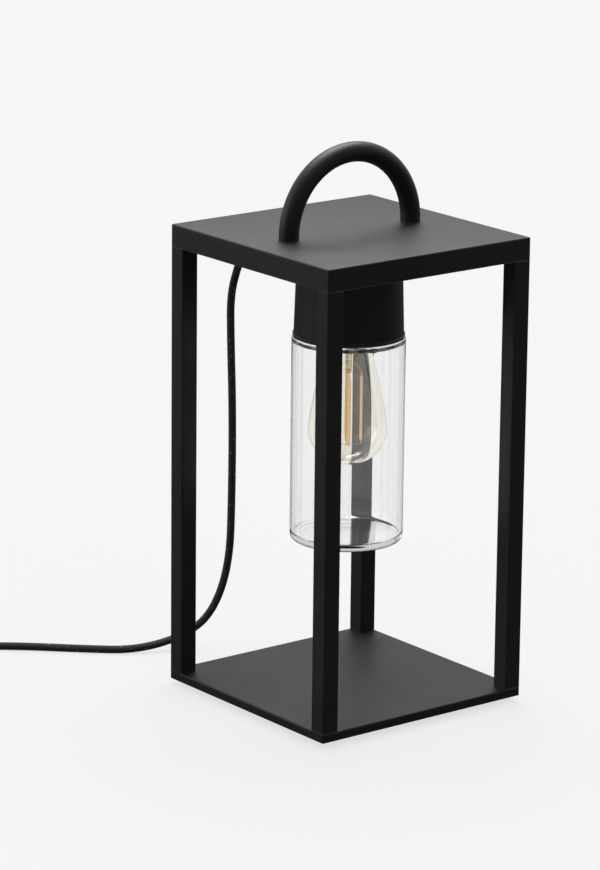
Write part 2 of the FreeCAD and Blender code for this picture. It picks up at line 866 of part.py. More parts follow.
def make_clamp_screws():
    y = clamp_middle
    top = entry_height + clamp_strap
    screws = []
    for x in (-clamp_screw_spacing / 2, clamp_screw_spacing / 2):
        head = cylinder(clamp_head_radius, top, top + clamp_head_height, x, y)
        shank = cylinder(screw_radius, housing_bottom + clamp_floor + past, top, x, y)
        screws.append(head.fuse(shank).removeSplitter())
    return Part.makeCompound(screws)


def make_terminal_block():
    """Two-way block on the cover plate, with a wire bore and a screw well for each core."""
    front = terminal_middle - terminal_length / 2
    back = terminal_middle + terminal_length / 2
    top = housing_bottom + terminal_height
    body = box((-terminal_width / 2, front, housing_bottom), (terminal_width / 2, back, top))
    body = body.makeFillet(terminal_corner, edges_at_height(body, top))
    cuts = []
    for x in (-terminal_spacing / 2, terminal_spacing / 2):
        start, end = Vector(x, front - past, terminal_level), Vector(x, back + past, terminal_level)
        cuts.append(rod(terminal_bore, start, end))
        for y in (terminal_middle - well_offset, terminal_middle + well_offset):
            cuts.append(cylinder(well_radius, top - well_depth, top + past, x, y))
    return body.cut(Part.makeCompound(cuts))


def make_supply_cores():
    """The cord's two cores, from the end of its sheath into the terminals."""
    terminal_end = terminal_middle + terminal_length / 2
    reach = sheath_end - terminal_end
    cores = []
    for side in (-1, 1):
        x_start, x_end = side * core_spread, side * terminal_spacing / 2
        cores.append(
            wire_run(
                [
                    (x_start, sheath_end, entry_height),
                    (x_start, sheath_end - reach * 0.3, entry_height),
                    (x_end, sheath_end - reach * 0.8, terminal_level),
                    (x_end, terminal_end - core_grip, terminal_level),
                ]
            )
        )
    return Part.makeCompound(cores)


def make_lamp_cores():
    """Two cores from the terminals, over the edge of the threaded tube and down to the contacts."""
    start = terminal_middle - terminal_length / 2
    crest = housing_bottom + nipple_above + core_crest
    block_top = block_bottom + block_height
    dome_roof = holder_mouth + holder_length - nipple_grip
    cores = []
    for side in (-1, 1):
        x, near, far = side * terminal_spacing / 2, side * core_spread, side * terminal_spacing
        cores.append(
            wire_run(
                [
                    (x, start + core_grip, terminal_level),
                    (x, start - core_grip, terminal_level),
                    (near, start - core_rise, crest),
                    (near, 0, crest),
                    (near, 0, dome_roof - past),
                    (far, 0, block_top + core_bend),
                    (far, 0, block_top - core_depth + past),
                ]
            )
        )
    return Part.makeCompound(cores)


relief_end = relief_point(relief_droop)
switch_right = -234.0        # X of the end where the cord enters the switch
switch_y = 270.0
switch_left = switch_right - switch_length
switch_middle = (switch_left + switch_right) / 2


def lamp_cord_points():
    """From the strain relief, down behind the lamp, along the surface and into the switch."""
    leaving = relief_direction(relief_droop) * 16
    hanging = [
        (0.5, 145, 326),
        (1, 156.5, 298.5),
        (2, 157, 260),
        (3.5, 156, 201),
        (3, 155.5, 130),
        (0, 154, 70),
        (-14, 158, 29),
        (-36, 167, 10.5),
    ]
    lying = [(-78, 177), (-112, 206), (-145, 238), (-170, 257.5)]
    entry = Vector(switch_right + switch_neck_length, switch_y, switch_axis_height)
    points = [relief_end, relief_end + leaving]
    points += [Vector(*place) for place in hanging]
    points += [Vector(x, y, cord_radius) for x, y in lying]
    return points + [entry + Vector(35, -1, -4.4), entry + Vector(13, 0, 0), entry]


def coil_place(turns):
    """Centre line of the coil, counted in turns: inwards below, up a layer, outwards above."""
    half = coil_turns / 2
    from_middle = turns - half
    ease = 0.25
    if abs(from_middle) < ease:
        away = (from_middle**2 + ease**2) / (2 * ease)
    else:
        away = abs(from_middle)
    radius = coil_radius + coil_step * (away - half / 2)
    climb = min(max((from_middle + ease) / (2 * ease), 0), 1)
    height = cord_radius + coil_step * climb**2 * (3 - 2 * climb)
    angle = math.pi + 2 * math.pi * turns
    return Vector(coil_x + radius * math.cos(angle), coil_y + radius * math.sin(angle), height)


def coil_direction(turns):
    step = 1e-4
    return (coil_place(turns + step) - coil_place(turns - step)).normalize()


def arc_from_corner(start, corner, end):
    """Arc that leaves start towards the corner and arrives at end from it."""
    half_turn = (math.pi - (start - corner).getAngle(end - corner)) / 2
    chord_middle = (start + end) * 0.5
    half_chord = (end - start).Length / 2
    bulge = (corner - chord_middle).normalize() * half_chord * math.tan(half_turn / 2)
    return Part.Arc(start, chord_middle + bulge, end).toShape()


def biarc(start, leaving, end, arriving):
    """Two tangent arcs between two points with given directions."""
    gap = end - start
    both = leaving + arriving
    spread = 2 * (1 - leaving.dot(arriving))
    along = gap.dot(both)
    reach = (-along + math.sqrt(along**2 + spread * gap.dot(gap))) / spread
    first_corner = start + leaving * reach
    second_corner = end - arriving * reach
    middle = (first_corner + second_corner) * 0.5
    return [arc_from_corner(start, first_corner, middle), arc_from_corner(middle, second_corner, end)]


def make_coil():
    """One unbroken tube, quarter turn by quarter turn, straight for a diameter at each end."""
    stations = [k / 4 for k in range(4 * coil_turns + 1)]
    edges = [Part.LineSegment(coil_start(), coil_place(0)).toShape()]
    for first, last in zip(stations, stations[1:]):
        edges += biarc(coil_place(first), coil_direction(first), coil_place(last), coil_direction(last))
    edges.append(Part.LineSegment(coil_place(coil_turns), coil_end()).toShape())
    length = sum(edge.Length for edge in edges)
    print("coil: length %.1f, least gap to itself %.2f" % (length, coil_gap(edges)))
    return tube(edges, cord_radius)


def coil_start():
    return coil_place(0) - coil_direction(0) * cord_diameter


def coil_end():
    return coil_place(coil_turns) + coil_direction(coil_turns) * cord_diameter


def coil_gap(edges):
    """Least free distance between turns, measured on points along the centre line."""
    spacing = 3.0
    points = []
    travelled = []
    distance = 0.0
    for edge in edges:
        count = max(2, int(edge.Length / spacing))
        for k in range(count):
            share = (edge.LastParameter - edge.FirstParameter) * k / count
            points.append(edge.valueAt(edge.FirstParameter + share))
            travelled.append(distance + edge.Length * k / count)
        distance += edge.Length
    least = 1e9
    for i, point in enumerate(points):
        for j in range(i + 1, len(points)):
            if travelled[j] - travelled[i] > 6 * cord_diameter:
                least = min(least, (point - points[j]).Length)
    return least - cord_diameter


def middle_cord_points():
    """From the switch down to the surface and round to the coil's lowest turn."""
    start = Vector(switch_left - switch_neck_length, switch_y, switch_axis_height)
    end = coil_start()
    steps = [(-15, 0, 8.0), (-30, -5.5, 5.2), (-42, -17.5, 3.4), (-48, -33, 3.2)]
    points = [start]
    points += [Vector(start.x + x, start.y + y, z) for x, y, z in steps]
    return points + [end - coil_direction(0) * 20, end]


def plug_cord_points():
    """From the coil's upper layer to the plug beside it."""
    start = coil_end()
    end = plug_cord_end()
    ahead = start + coil_direction(coil_turns) * 14
    return [start, ahead, end + Vector(1, 27, 1.0), end + Vector(0, 13, 0), end]


def plug_cord_end():
    start = coil_end()
    return Vector(start.x - 2, start.y - 57, plug_thick / 2)


def make_free_cord(name, points):
    """Tube along a free stretch; its radii and its length are printed."""
    edges, radii = rounded_route(points)
    length = sum(edge.Length for edge in edges)
    body = tube(edges, cord_radius)
    expected = math.pi * cord_radius**2 * length
    rounded = ", ".join("%.0f" % radius for radius in radii)
    error = 100 * (body.Volume / expected - 1)
    print("%s: length %.1f, volume off by %.2f%%, radii %s" % (name, length, error, rounded))
    return body


def switch_block(low, high, inset=0.0):
    """Rounded block of the switch's plan, made smaller by the inset."""
    length, width = switch_length - 2 * inset, switch_width - 2 * inset
    block = slab(length, width, low, high, switch_corner - inset)
    block.translate(Vector(switch_middle, switch_y, 0))
    return block


def switch_half(low, high):
    """Block that holds everything of the switch between two levels."""
    reach = switch_width
    low_corner = (switch_left - reach, switch_y - reach, low)
    return box(low_corner, (switch_right + reach, switch_y + reach, high))


def switch_necks():
    """Short tapered necks where the cord enters, as one pair of solids."""
    necks = []
    length = switch_neck_length + switch_neck_root
    root = switch_neck_radius + switch_neck_swell
    end = switch_neck_radius - switch_neck_taper
    for edge_x, way in ((switch_right, 1), (switch_left, -1)):
        start = Vector(edge_x - way * switch_neck_root, switch_y, switch_axis_height)
        necks.append(Part.makeCone(root, end, length, start, Vector(way, 0, 0)))
    return necks


def make_switch_lower():
    """Lower half of the switch's case, with the pocket for its contacts."""
    body = switch_block(0, switch_axis_height)
    body = body.makeFillet(switch_foot_round, edges_at_height(body, 0))
    upper_half = switch_half(switch_axis_height, 2 * switch_height)
    for neck in switch_necks():
        body = body.fuse(neck.cut(upper_half))
    pocket = switch_block(switch_wall, switch_axis_height + past, switch_wall + switch_pocket_corner)
    return body.cut(pocket).cut(Part.makeCompound(switch_screw_holes())).removeSplitter()


def make_switch_upper():
    """Upper half of the case, with the rocker's window and bearings."""
    body = switch_block(switch_axis_height, switch_height)
    body = body.makeFillet(switch_round, edges_at_height(body, switch_height))
    lower_half = switch_half(-switch_height, switch_axis_height)
    for neck in switch_necks():
        body = body.fuse(neck.cut(lower_half))
    half_length = rocker_length / 2 + rocker_play
    half_width = rocker_width / 2 + rocker_play
    window = box(
        (switch_middle - half_length, switch_y - half_width, switch_axis_height - past),
        (switch_middle + half_length, switch_y + half_width, switch_height + past),
    )
    pivot = rocker_pivot()
    reach = Vector(0, half_width + bearing_reach, 0)
    bearings = rod(pivot_radius + pivot_play, pivot - reach, pivot + reach)
    screw_holes = Part.makeCompound(switch_screw_holes())
    return body.cut(window).cut(bearings).cut(screw_holes).removeSplitter()


def switch_screw_places():
    reach = switch_length / 2 - switch_screw_inset
    return [(switch_middle - reach, switch_y), (switch_middle + reach, switch_y)]


def switch_screw_holes():
    """Two wells from below, each with a head recess."""
    holes = []
    for x, y in switch_screw_places():
        top = switch_height - switch_roof
        holes.append(cylinder(switch_screw_radius + thread_play, -past, top, x, y))
        holes.append(cylinder(switch_head_radius + screw_play, -past, switch_head_depth, x, y))
    return holes


def make_switch_screws():
    screws = []
    for x, y in switch_screw_places():
        seat = switch_head_depth
        head = cylinder(switch_head_radius, seat - switch_head_height, seat, x, y)
        shank = cylinder(switch_screw_radius, seat, switch_height - switch_roof - past, x, y)
        screws.append(head.fuse(shank).removeSplitter())
    return Part.makeCompound(screws)


def rocker_pivot():
    return Vector(switch_middle, switch_y, switch_height - rocker_pivot_drop)


def make_rocker():
    """Rocker with two shallow finger slopes, standing in its off position."""
    pivot = rocker_pivot()
    half = rocker_length / 2
    low = pivot.z - rocker_belly
    waist = pivot.z + 1
    crown = switch_height + rocker_rise
    points = [
        (-half * rocker_taper, low),
        (half * rocker_taper, low),
        (half, waist),
        (half - rocker_lean, crown),
        (0, switch_height + rocker_dip),
        (-half + rocker_lean, crown),
        (-half, waist),
    ]
    outline = [Vector(pivot.x + x, switch_y - rocker_width / 2, z) for x, z in points]
    face = Part.Face(Part.makePolygon(outline + [outline[0]]))
    body = face.extrude(Vector(0, rocker_width, 0))
    reach = Vector(0, rocker_width / 2 + rocker_play + bearing_reach - screw_play, 0)
    body = body.fuse(rod(pivot_radius, pivot - reach, pivot + reach)).removeSplitter()
    body.rotate(pivot, Vector(0, 1, 0), rocker_throw / 2)
    return body


def make_switch_contacts():
    """Two brass contact blades on the floor of the switch."""
    blades = []
    for x in (-blade_spread, blade_spread):
        blade = slab(blade_length, blade_width, switch_wall, switch_wall + blade_height)
        blade.translate(Vector(switch_middle + x, switch_y, 0))
        blades.append(blade)
    return Part.makeCompound(blades)


def plug_section(width, thick, y):
    """Rounded rectangle across the plug, as a wire."""
    body = slab(width, thick, 0, 1, plug_corner)
    face = [f for f in body.Faces if abs(f.BoundBox.ZMax) < 1e-6][0]
    wire = face.OuterWire
    wire.rotate(Vector(0, 0, 0), Vector(1, 0, 0), 90)
    wire.translate(Vector(plug_cord_end().x, y, plug_thick / 2))
    return wire


def make_plug_body():
    """Flat two-pin plug with a tapered grip and a cord relief."""
    end = plug_cord_end()
    grip_start = end.y - plug_relief_length
    face_y = grip_start - plug_length
    sections = [
        plug_section(plug_back_width, plug_thick - plug_thinning, grip_start),
        plug_section(plug_width - plug_narrowing, plug_thick, grip_start - plug_length * plug_waist),
        plug_section(plug_width, plug_thick, face_y),
    ]
    grip = Part.makeLoft(sections, True, True)
    root = Vector(end.x, grip_start - plug_overlap, end.z)
    cone_radius = plug_thick / 2 - plug_cone_inset
    cone_length = plug_relief_length + plug_overlap
    cone = Part.makeCone(cone_radius, plug_relief_radius, cone_length, root, Vector(0, 1, 0))
    body = grip.fuse(cone)
    for x in pin_places():
        start = Vector(x, face_y, plug_thick / 2)
        sleeve_end = start - Vector(0, sleeve_length, 0)
        sleeve_start = start + Vector(0, past, 0)
        body = body.fuse(rod(pin_radius - sleeve_inset, sleeve_start, sleeve_end))
        bore_start, bore_end = start + Vector(0, pin_root, 0), sleeve_end - Vector(0, past, 0)
        body = body.cut(rod(sleeve_core_radius, bore_start, bore_end))
    return body.removeSplitter()


def pin_places():
    x = plug_cord_end().x
    return [x - pin_spacing / 2, x + pin_spacing / 2]


def make_plug_pins():
    """Two round pins, slimmer where their insulating sleeves cover them."""
    face_y = plug_cord_end().y - plug_relief_length - plug_length
    pins = []
    for x in pin_places():
        start = Vector(x, face_y, plug_thick / 2)
        core = rod(sleeve_core_radius, start + Vector(0, pin_root, 0), start - Vector(0, sleeve_length, 0))
        tip = rod(pin_radius, start - Vector(0, sleeve_length, 0), start - Vector(0, pin_length, 0))
        nose = [edge for edge in tip.Edges if abs(edge.BoundBox.YMax - (face_y - pin_length)) < 1e-4]
        pins.append(core.fuse(tip.makeFillet(pin_nose, nose)).removeSplitter())
    return Part.makeCompound(pins)


pieces = {
    "top_housing": make_top_housing(),
    "front_left_post": make_post(-1, -1),
    "front_right_post": make_post(1, -1),
    "back_left_post": make_post(-1, 1),
    "back_right_post": make_post(1, 1),
    "base_pan": make_base_pan(),
    "base_cover": make_base_cover(),
    "base_cover_screws": Part.makeCompound(
        [pan_head_screw(x, y, base_bottom, cover_screw_length) for x, y in cover_screw_places()]
    ),
    "front_foot_strip": make_foot_strip(-1),
    "back_foot_strip": make_foot_strip(1),
    "cover_plate": make_cover_plate(),
    "cover_plate_screws": Part.makeCompound(
        [pan_head_screw(x, y, plate_bottom, plate_screw_length) for x, y in plate_screw_places()]
    ),
    "carry_handle": make_handle(),
    "handle_screws": make_handle_screws(),
    "shade_cup": make_cup(),
    "shade_seal": make_seal(),
    "glass_shade": make_glass(),
    "lampholder_skirt": make_holder_skirt(),
    "lampholder_dome": make_holder_dome(),
    "contact_block": make_contact_block(),
    "screw_shell": make_screw_shell(),
    "centre_contact": make_centre_contact(),
    "threaded_nipple": make_nipple(),
    "nipple_nut": make_nipple_nut(),
    "nipple_washer": make_nipple_washer(),
    "bulb_glass": make_bulb_glass(),
    "bulb_cap": make_bulb_cap(),
    "bulb_insulator": make_bulb_insulator(),
    "bulb_contact": make_bulb_button(),
    "bulb_stem": make_bulb_stem(),
    "bulb_filaments": make_filaments(),
    "filament_wires": make_filament_wires(),
    "strain_relief": make_strain_relief(),
    "inner_cord": make_inner_cord(),
    "cord_clamp_base": make_clamp_base(),
    "cord_clamp_strap": make_clamp_strap(),
    "cord_clamp_screws": make_clamp_screws(),
    "terminal_block": make_terminal_block(),
    "supply_cores": make_supply_cores(),
    "lamp_cores": make_lamp_cores(),
    "power_cord": make_free_cord("power_cord", lamp_cord_points()),
    "middle_cord": make_free_cord("middle_cord", middle_cord_points()),
    "plug_cord": make_free_cord("plug_cord", plug_cord_points()),
    "cord_coil": make_coil(),
    "switch_lower_case": make_switch_lower(),
    "switch_upper_case": make_switch_upper(),
    "switch_screws": make_switch_screws(),
    "switch_rocker": make_rocker(),
    "switch_contacts": make_switch_contacts(),
    "plug_body": make_plug_body(),
    "plug_pins": make_plug_pins(),
}

os.makedirs("parts", exist_ok=True)
for name, shape in pieces.items():
    shape.exportStep("parts/%s.step" % name)
print("%d nodes" % len(pieces))
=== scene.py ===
import math

import bpy
from mathutils import Matrix, Vector


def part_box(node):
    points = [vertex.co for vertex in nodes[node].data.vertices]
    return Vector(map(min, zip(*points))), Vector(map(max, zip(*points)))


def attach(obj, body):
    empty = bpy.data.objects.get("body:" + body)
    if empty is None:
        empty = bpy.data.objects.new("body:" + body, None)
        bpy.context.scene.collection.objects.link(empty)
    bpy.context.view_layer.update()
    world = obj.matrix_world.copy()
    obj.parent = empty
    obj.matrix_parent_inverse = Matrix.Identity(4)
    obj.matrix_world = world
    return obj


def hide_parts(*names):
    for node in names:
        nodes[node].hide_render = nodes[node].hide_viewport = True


# Lantern table lamp. Metres, +Z up, origin under the middle of the base.
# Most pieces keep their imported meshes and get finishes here. The glass, the bulb, the screw shell, the
# strain relief and the cord are modelled below, and the plug and the rocker get ridges and marks.

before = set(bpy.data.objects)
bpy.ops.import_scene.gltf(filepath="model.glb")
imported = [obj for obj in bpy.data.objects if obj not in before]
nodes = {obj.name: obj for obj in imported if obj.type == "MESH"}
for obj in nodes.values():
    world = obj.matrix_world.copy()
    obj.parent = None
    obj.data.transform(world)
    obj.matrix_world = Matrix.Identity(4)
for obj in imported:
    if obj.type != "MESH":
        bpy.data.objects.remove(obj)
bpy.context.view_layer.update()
print("frame loaded:", len(nodes), "nodes")


# small helpers

def clearSelection():
    active = bpy.context.view_layer.objects.active
    if active and active.mode != "OBJECT":
        bpy.ops.object.mode_set(mode="OBJECT")
    bpy.ops.object.select_all(action="DESELECT")


def pick(piece):
    clearSelection()
    piece.select_set(True)
    bpy.context.view_layer.objects.active = piece


def settle(piece):  # the place goes into the mesh, the object stays at the origin
    pick(piece)
    bpy.ops.object.transform_apply(location=True, rotation=True, scale=True)


def useModifier(piece, kind, **settings):
    modifier = piece.modifiers.new(kind.title(), kind)
    for key, value in settings.items():
        setattr(modifier, key, value)
    pick(piece)
    bpy.ops.object.modifier_apply(modifier=modifier.name)


def smooth(piece, degrees=32):
    pick(piece)
    bpy.ops.object.shade_smooth_by_angle(angle=math.radians(degrees))


def faceOutwards(piece, merge=1e-7):
    pick(piece)
    bpy.ops.object.mode_set(mode="EDIT")
    bpy.ops.mesh.select_all(action="SELECT")
    bpy.ops.mesh.remove_doubles(threshold=merge)
    bpy.ops.mesh.normals_make_consistent(inside=False)
    bpy.ops.object.mode_set(mode="OBJECT")


def joinPieces(name, pieces):
    pick(pieces[0])
    for piece in pieces[1:]:
        piece.select_set(True)
    if len(pieces) > 1:
        bpy.ops.object.join()
    joined = bpy.context.object
    joined.name = name
    return joined


def dress(piece, material):
    piece.data.materials.clear()
    piece.data.materials.append(material)


def putOn(piece, body, material, slot, *replaced):
    dress(piece, material)
    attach(piece, body)
    if replaced:
        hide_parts(*replaced)
    return piece


# camera: the photograph's viewing angle, a long lens from far away

cameraPlace = {
    "azimuth": -37.94,  # degrees
    "elevation": 15.12,
    "roll": 0.614,
    "distance": 3.5472,
    "target": (0.1316, 0.2298, 0.1427),
    "focalPixels": 4138.0,
    "longSide": 870.0,  # pixels
    "sensor": 36.0,  # mm along the picture's long side
    "nearest": 0.1,
    "farthest": 60.0,
}


def makeCamera(place):
    azimuth = math.radians(place["azimuth"])
    elevation = math.radians(place["elevation"])
    roll = math.radians(place["roll"])
    level = math.cos(elevation)
    back = Vector((math.sin(azimuth) * level, -math.cos(azimuth) * level, math.sin(elevation)))
    right = Vector((0, 0, 1)).cross(back).normalized()
    up = back.cross(right)
    rightTurned = right * math.cos(roll) + up * math.sin(roll)
    upTurned = up * math.cos(roll) - right * math.sin(roll)
    data = bpy.data.cameras.new("camera")
    data.sensor_width = place["sensor"]
    data.lens = place["focalPixels"] * place["sensor"] / place["longSide"]
    data.clip_start = place["nearest"]
    data.clip_end = place["farthest"]
    camera = bpy.data.objects.new("camera", data)
    bpy.context.scene.collection.objects.link(camera)
    turn = Matrix((rightTurned, upTurned, back)).transposed().to_4x4()
    camera.matrix_world = Matrix.Translation(Vector(place["target"]) + back * place["distance"]) @ turn
    bpy.context.scene.camera = camera


makeCamera(cameraPlace)
print("camera placed")


# shader helpers

def startMaterial(name):
    material = bpy.data.materials.new(name)
    material.use_nodes = True
    tree = material.node_tree
    return material, tree, tree.nodes["Principled BSDF"]


def addNode(tree, kind, inputs=None, **settings):
    node = tree.nodes.new(kind)
    for key, value in settings.items():
        setattr(node, key, value)
    for key, value in (inputs or {}).items():
        if isinstance(value, bpy.types.NodeSocket):
            tree.links.new(value, node.inputs[key])
        else:
            node.inputs[key].default_value = value
    return node


def calc(tree, operation, first, second=0.0):
    node = addNode(tree, "ShaderNodeMath", {0: first, 1: second}, operation=operation)
    return node.outputs[0]


def blendColour(tree, factor, first, second):
    node = addNode(tree, "ShaderNodeMix", {"Factor": factor}, data_type="RGBA")
    for index, value in ((6, first), (7, second)):  # the node's two colour sockets
        if isinstance(value, bpy.types.NodeSocket):
            tree.links.new(value, node.inputs[index])
        else:
            node.inputs[index].default_value = (*value, 1.0)
    return node.outputs[2]


def choose(tree, factor, first, second):
    inputs = {"Factor": factor, "A": first, "B": second}
    return addNode(tree, "ShaderNodeMix", inputs, data_type="FLOAT").outputs[0]


def spread(tree, value, low, high, fromLow=0.3, fromHigh=0.7):
    inputs = {"Value": value, "From Min": fromLow, "From Max": fromHigh, "To Min": low, "To Max": high}
    return addNode(tree, "ShaderNodeMapRange", inputs).outputs[0]


def noiseAt(tree, place, scale, detail=3.0, roughness=0.55):
    inputs = {"Vector": place, "Scale": scale, "Detail": detail, "Roughness": roughness}
    return addNode(tree, "ShaderNodeTexNoise", inputs).outputs["Fac"]


def giveBump(tree, shader, height, strength, depth):
    bump = addNode(tree, "ShaderNodeBump", {"Height": height, "Strength": strength, "Distance": depth})
    tree.links.new(bump.outputs[0], shader.inputs["Normal"])


# opaque finishes

wearShares = {"patches": 0.6, "grain": 0.4}  # what the roughness takes from each noise


# the mask of a painted highlight along the edges, broken into patches
def paintedEdgeHighlight(tree, patches, look):  # where a face departs from its own softened normal
    flat = addNode(tree, "ShaderNodeNewGeometry").outputs["Normal"]
    softened = addNode(tree, "ShaderNodeBevel", {"Radius": look["edgeWidth"]}, samples=6).outputs[0]
    along = addNode(tree, "ShaderNodeVectorMath", {0: flat, 1: softened}, operation="DOT_PRODUCT")
    departing = spread(tree, along.outputs["Value"], 1.0, 0.0, *look["edgeCosines"])
    return calc(tree, "MULTIPLY", departing, spread(tree, patches, 0.2, 1.0))


def coatMaterial(name, look):
    # two tones in soft patches, a fine grain in the bump and the roughness, and paler edges that are a
    # painted highlight
    material, tree, shader = startMaterial(name)
    place = addNode(tree, "ShaderNodeTexCoord").outputs["Object"]
    patches = noiseAt(tree, place, look["patchScale"])
    grain = noiseAt(tree, place, look["grainScale"], detail=2.0)
    tone = blendColour(tree, spread(tree, patches, 0.0, 1.0), look["dark"], look["light"])
    # paler colour along the edges: a painted highlight
    if "edge" in look:
        tone = blendColour(tree, paintedEdgeHighlight(tree, patches, look), tone, look["edge"])
    tree.links.new(tone, shader.inputs["Base Color"])
    wear = calc(tree, "ADD", calc(tree, "MULTIPLY", patches, wearShares["patches"]),
                calc(tree, "MULTIPLY", grain, wearShares["grain"]))
    tree.links.new(spread(tree, wear, *look["roughness"]), shader.inputs["Roughness"])
    giveBump(tree, shader, grain, look["bump"], look["depth"])
    shader.inputs["Metallic"].default_value = look.get("metallic", 0.0)
    shader.inputs["Specular IOR Level"].default_value = look.get("specular", 0.5)
    shader.inputs["IOR"].default_value = 1.5
    # painted glow: the filaments give off light in their paler tone, though the bulb is not lit
    if "paintedGlow" in look:
        shader.inputs["Emission Color"].default_value = (*look["light"], 1.0)
        shader.inputs["Emission Strength"].default_value = look["paintedGlow"]
    return material


looks = {
    "blackPowderCoat": {
        "dark": (0.0036, 0.0035, 0.0033), "light": (0.0064, 0.0063, 0.0060), "patchScale": 14.0,
        "grainScale": 1900.0, "roughness": (0.46, 0.58), "bump": 0.22, "depth": 0.00012, "specular": 0.42,
        # edge: the colour of the painted highlight along the edges
        "edge": (0.085, 0.085, 0.086), "edgeWidth": 0.0010, "edgeCosines": (0.90, 0.995),
    },
    "blackPlate": {
        "dark": (0.014, 0.014, 0.014), "light": (0.022, 0.022, 0.022), "patchScale": 20.0,
        "grainScale": 1500.0, "roughness": (0.5, 0.62), "bump": 0.2, "depth": 0.00012,
    },
    "zincSteel": {
        "dark": (0.50, 0.50, 0.49), "light": (0.66, 0.66, 0.64), "patchScale": 160.0, "metallic": 1.0,
        "grainScale": 2600.0, "roughness": (0.26, 0.42), "bump": 0.12, "depth": 0.00006,
    },
    "blackRubber": {
        "dark": (0.011, 0.011, 0.011), "light": (0.019, 0.019, 0.018), "patchScale": 60.0,
        "grainScale": 1800.0, "roughness": (0.68, 0.82), "bump": 0.3, "depth": 0.0001,
    },
    "blackPlastic": {
        "dark": (0.013, 0.013, 0.013), "light": (0.022, 0.022, 0.022), "patchScale": 70.0,
        "grainScale": 2400.0, "roughness": (0.42, 0.56), "bump": 0.18, "depth": 0.00008,
    },
    "blackMoulding": {
        "dark": (0.015, 0.015, 0.0155), "light": (0.024, 0.024, 0.0245), "patchScale": 50.0,
        "grainScale": 3200.0, "roughness": (0.46, 0.60), "bump": 0.35, "depth": 0.00008,
    },
    "whitePlastic": {
        "dark": (0.74, 0.72, 0.66), "light": (0.84, 0.83, 0.79), "patchScale": 90.0,
        "grainScale": 2200.0, "roughness": (0.38, 0.5), "bump": 0.1, "depth": 0.00006,
    },
    "ceramic": {
        "dark": (0.70, 0.68, 0.62), "light": (0.82, 0.80, 0.76), "patchScale": 120.0,
        "grainScale": 2000.0, "roughness": (0.55, 0.75), "bump": 0.3, "depth": 0.0001,
    },
    "brass": {
        "dark": (0.58, 0.42, 0.17), "light": (0.78, 0.60, 0.28), "patchScale": 180.0, "metallic": 1.0,
        "grainScale": 2500.0, "roughness": (0.2, 0.36), "bump": 0.1, "depth": 0.00005,
    },
    "goldWire": {
        "dark": (0.74, 0.50, 0.20), "light": (0.90, 0.68, 0.32), "patchScale": 400.0, "metallic": 1.0,
        "grainScale": 3000.0, "roughness": (0.18, 0.3), "bump": 0.08, "depth": 0.00004,
    },
    "nickel": {
        "dark": (0.60, 0.58, 0.54), "light": (0.74, 0.72, 0.68), "patchScale": 150.0, "metallic": 1.0,
        "grainScale": 2500.0, "roughness": (0.16, 0.3), "bump": 0.08, "depth": 0.00005,
    },
    "brownCore": {
        "dark": (0.10, 0.04, 0.02), "light": (0.14, 0.06, 0.03), "patchScale": 150.0,
        "grainScale": 2000.0, "roughness": (0.3, 0.42), "bump": 0.08, "depth": 0.00005,
    },
    "phosphor": {
        # paintedGlow: emission that brightens the filaments, a painted glow while the bulb is off
        "dark": (0.98, 0.54, 0.24), "light": (1.0, 0.68, 0.38), "patchScale": 500.0, "paintedGlow": 0.22,
        "grainScale": 4000.0, "roughness": (0.45, 0.6), "bump": 0.25, "depth": 0.00008,
    },
}
materials = {name: coatMaterial(name, look) for name, look in looks.items()}


# glass

def glassMaterial(name, look):
    # clear glass with a little absorption in its thickness, and faint waves from its making
    material, tree, shader = startMaterial(name)
    place = addNode(tree, "ShaderNodeTexCoord").outputs["Object"]
    stretched = addNode(tree, "ShaderNodeMapping", {"Vector": place, "Scale": look["stretch"]}).outputs[0]
    waves = noiseAt(tree, stretched, look["waveScale"], detail=1.5)
    smears = noiseAt(tree, place, look["smearScale"], detail=4.0)
    giveBump(tree, shader, waves, look["bump"], look["depth"])
    tree.links.new(spread(tree, smears, 0.0, look["roughness"], 0.5, 0.8), shader.inputs["Roughness"])
    tone = blendColour(tree, spread(tree, smears, 0.0, 1.0), look["dark"], look["light"])
    tree.links.new(tone, shader.inputs["Base Color"])
    shader.inputs["IOR"].default_value = look["ior"]
    shader.inputs["Transmission Weight"].default_value = 1.0
    absorption = addNode(tree, "ShaderNodeVolumeAbsorption", {"Density": look["density"]})
    absorption.inputs["Color"].default_value = (*look["absorbing"], 1.0)
    tree.links.new(absorption.outputs[0], tree.nodes["Material Output"].inputs["Volume"])
    return material


glassLooks = {
    "clearGlass": {
        "dark": (0.985, 0.99, 0.985), "light": (1.0, 1.0, 1.0), "ior": 1.5, "roughness": 0.002,
        "stretch": (1.0, 1.0, 0.2), "waveScale": 26.0, "smearScale": 30.0, "bump": 0.012, "depth": 0.0006,
        "absorbing": (0.50, 0.54, 0.47), "density": 8.0,
    },
    "tintedGlass": {
        "dark": (1.0, 0.985, 0.95), "light": (1.0, 0.995, 0.97), "ior": 1.47, "roughness": 0.02,
        "stretch": (1.0, 1.0, 0.5), "waveScale": 60.0, "smearScale": 60.0, "bump": 0.08, "depth": 0.0004,
        "absorbing": (0.90, 0.77, 0.45), "density": 95.0,
    },
    "stemGlass": {
        "dark": (0.98, 0.99, 0.98), "light": (1.0, 1.0, 1.0), "ior": 1.5, "roughness": 0.03,
        "stretch": (1.0, 1.0, 0.5), "waveScale": 300.0, "smearScale": 90.0, "bump": 0.15, "depth": 0.0003,
        "absorbing": (0.7, 0.72, 0.7), "density": 30.0,
    },
}
materials.update({name: glassMaterial(name, look) for name, look in glassLooks.items()})


# the cord's braid

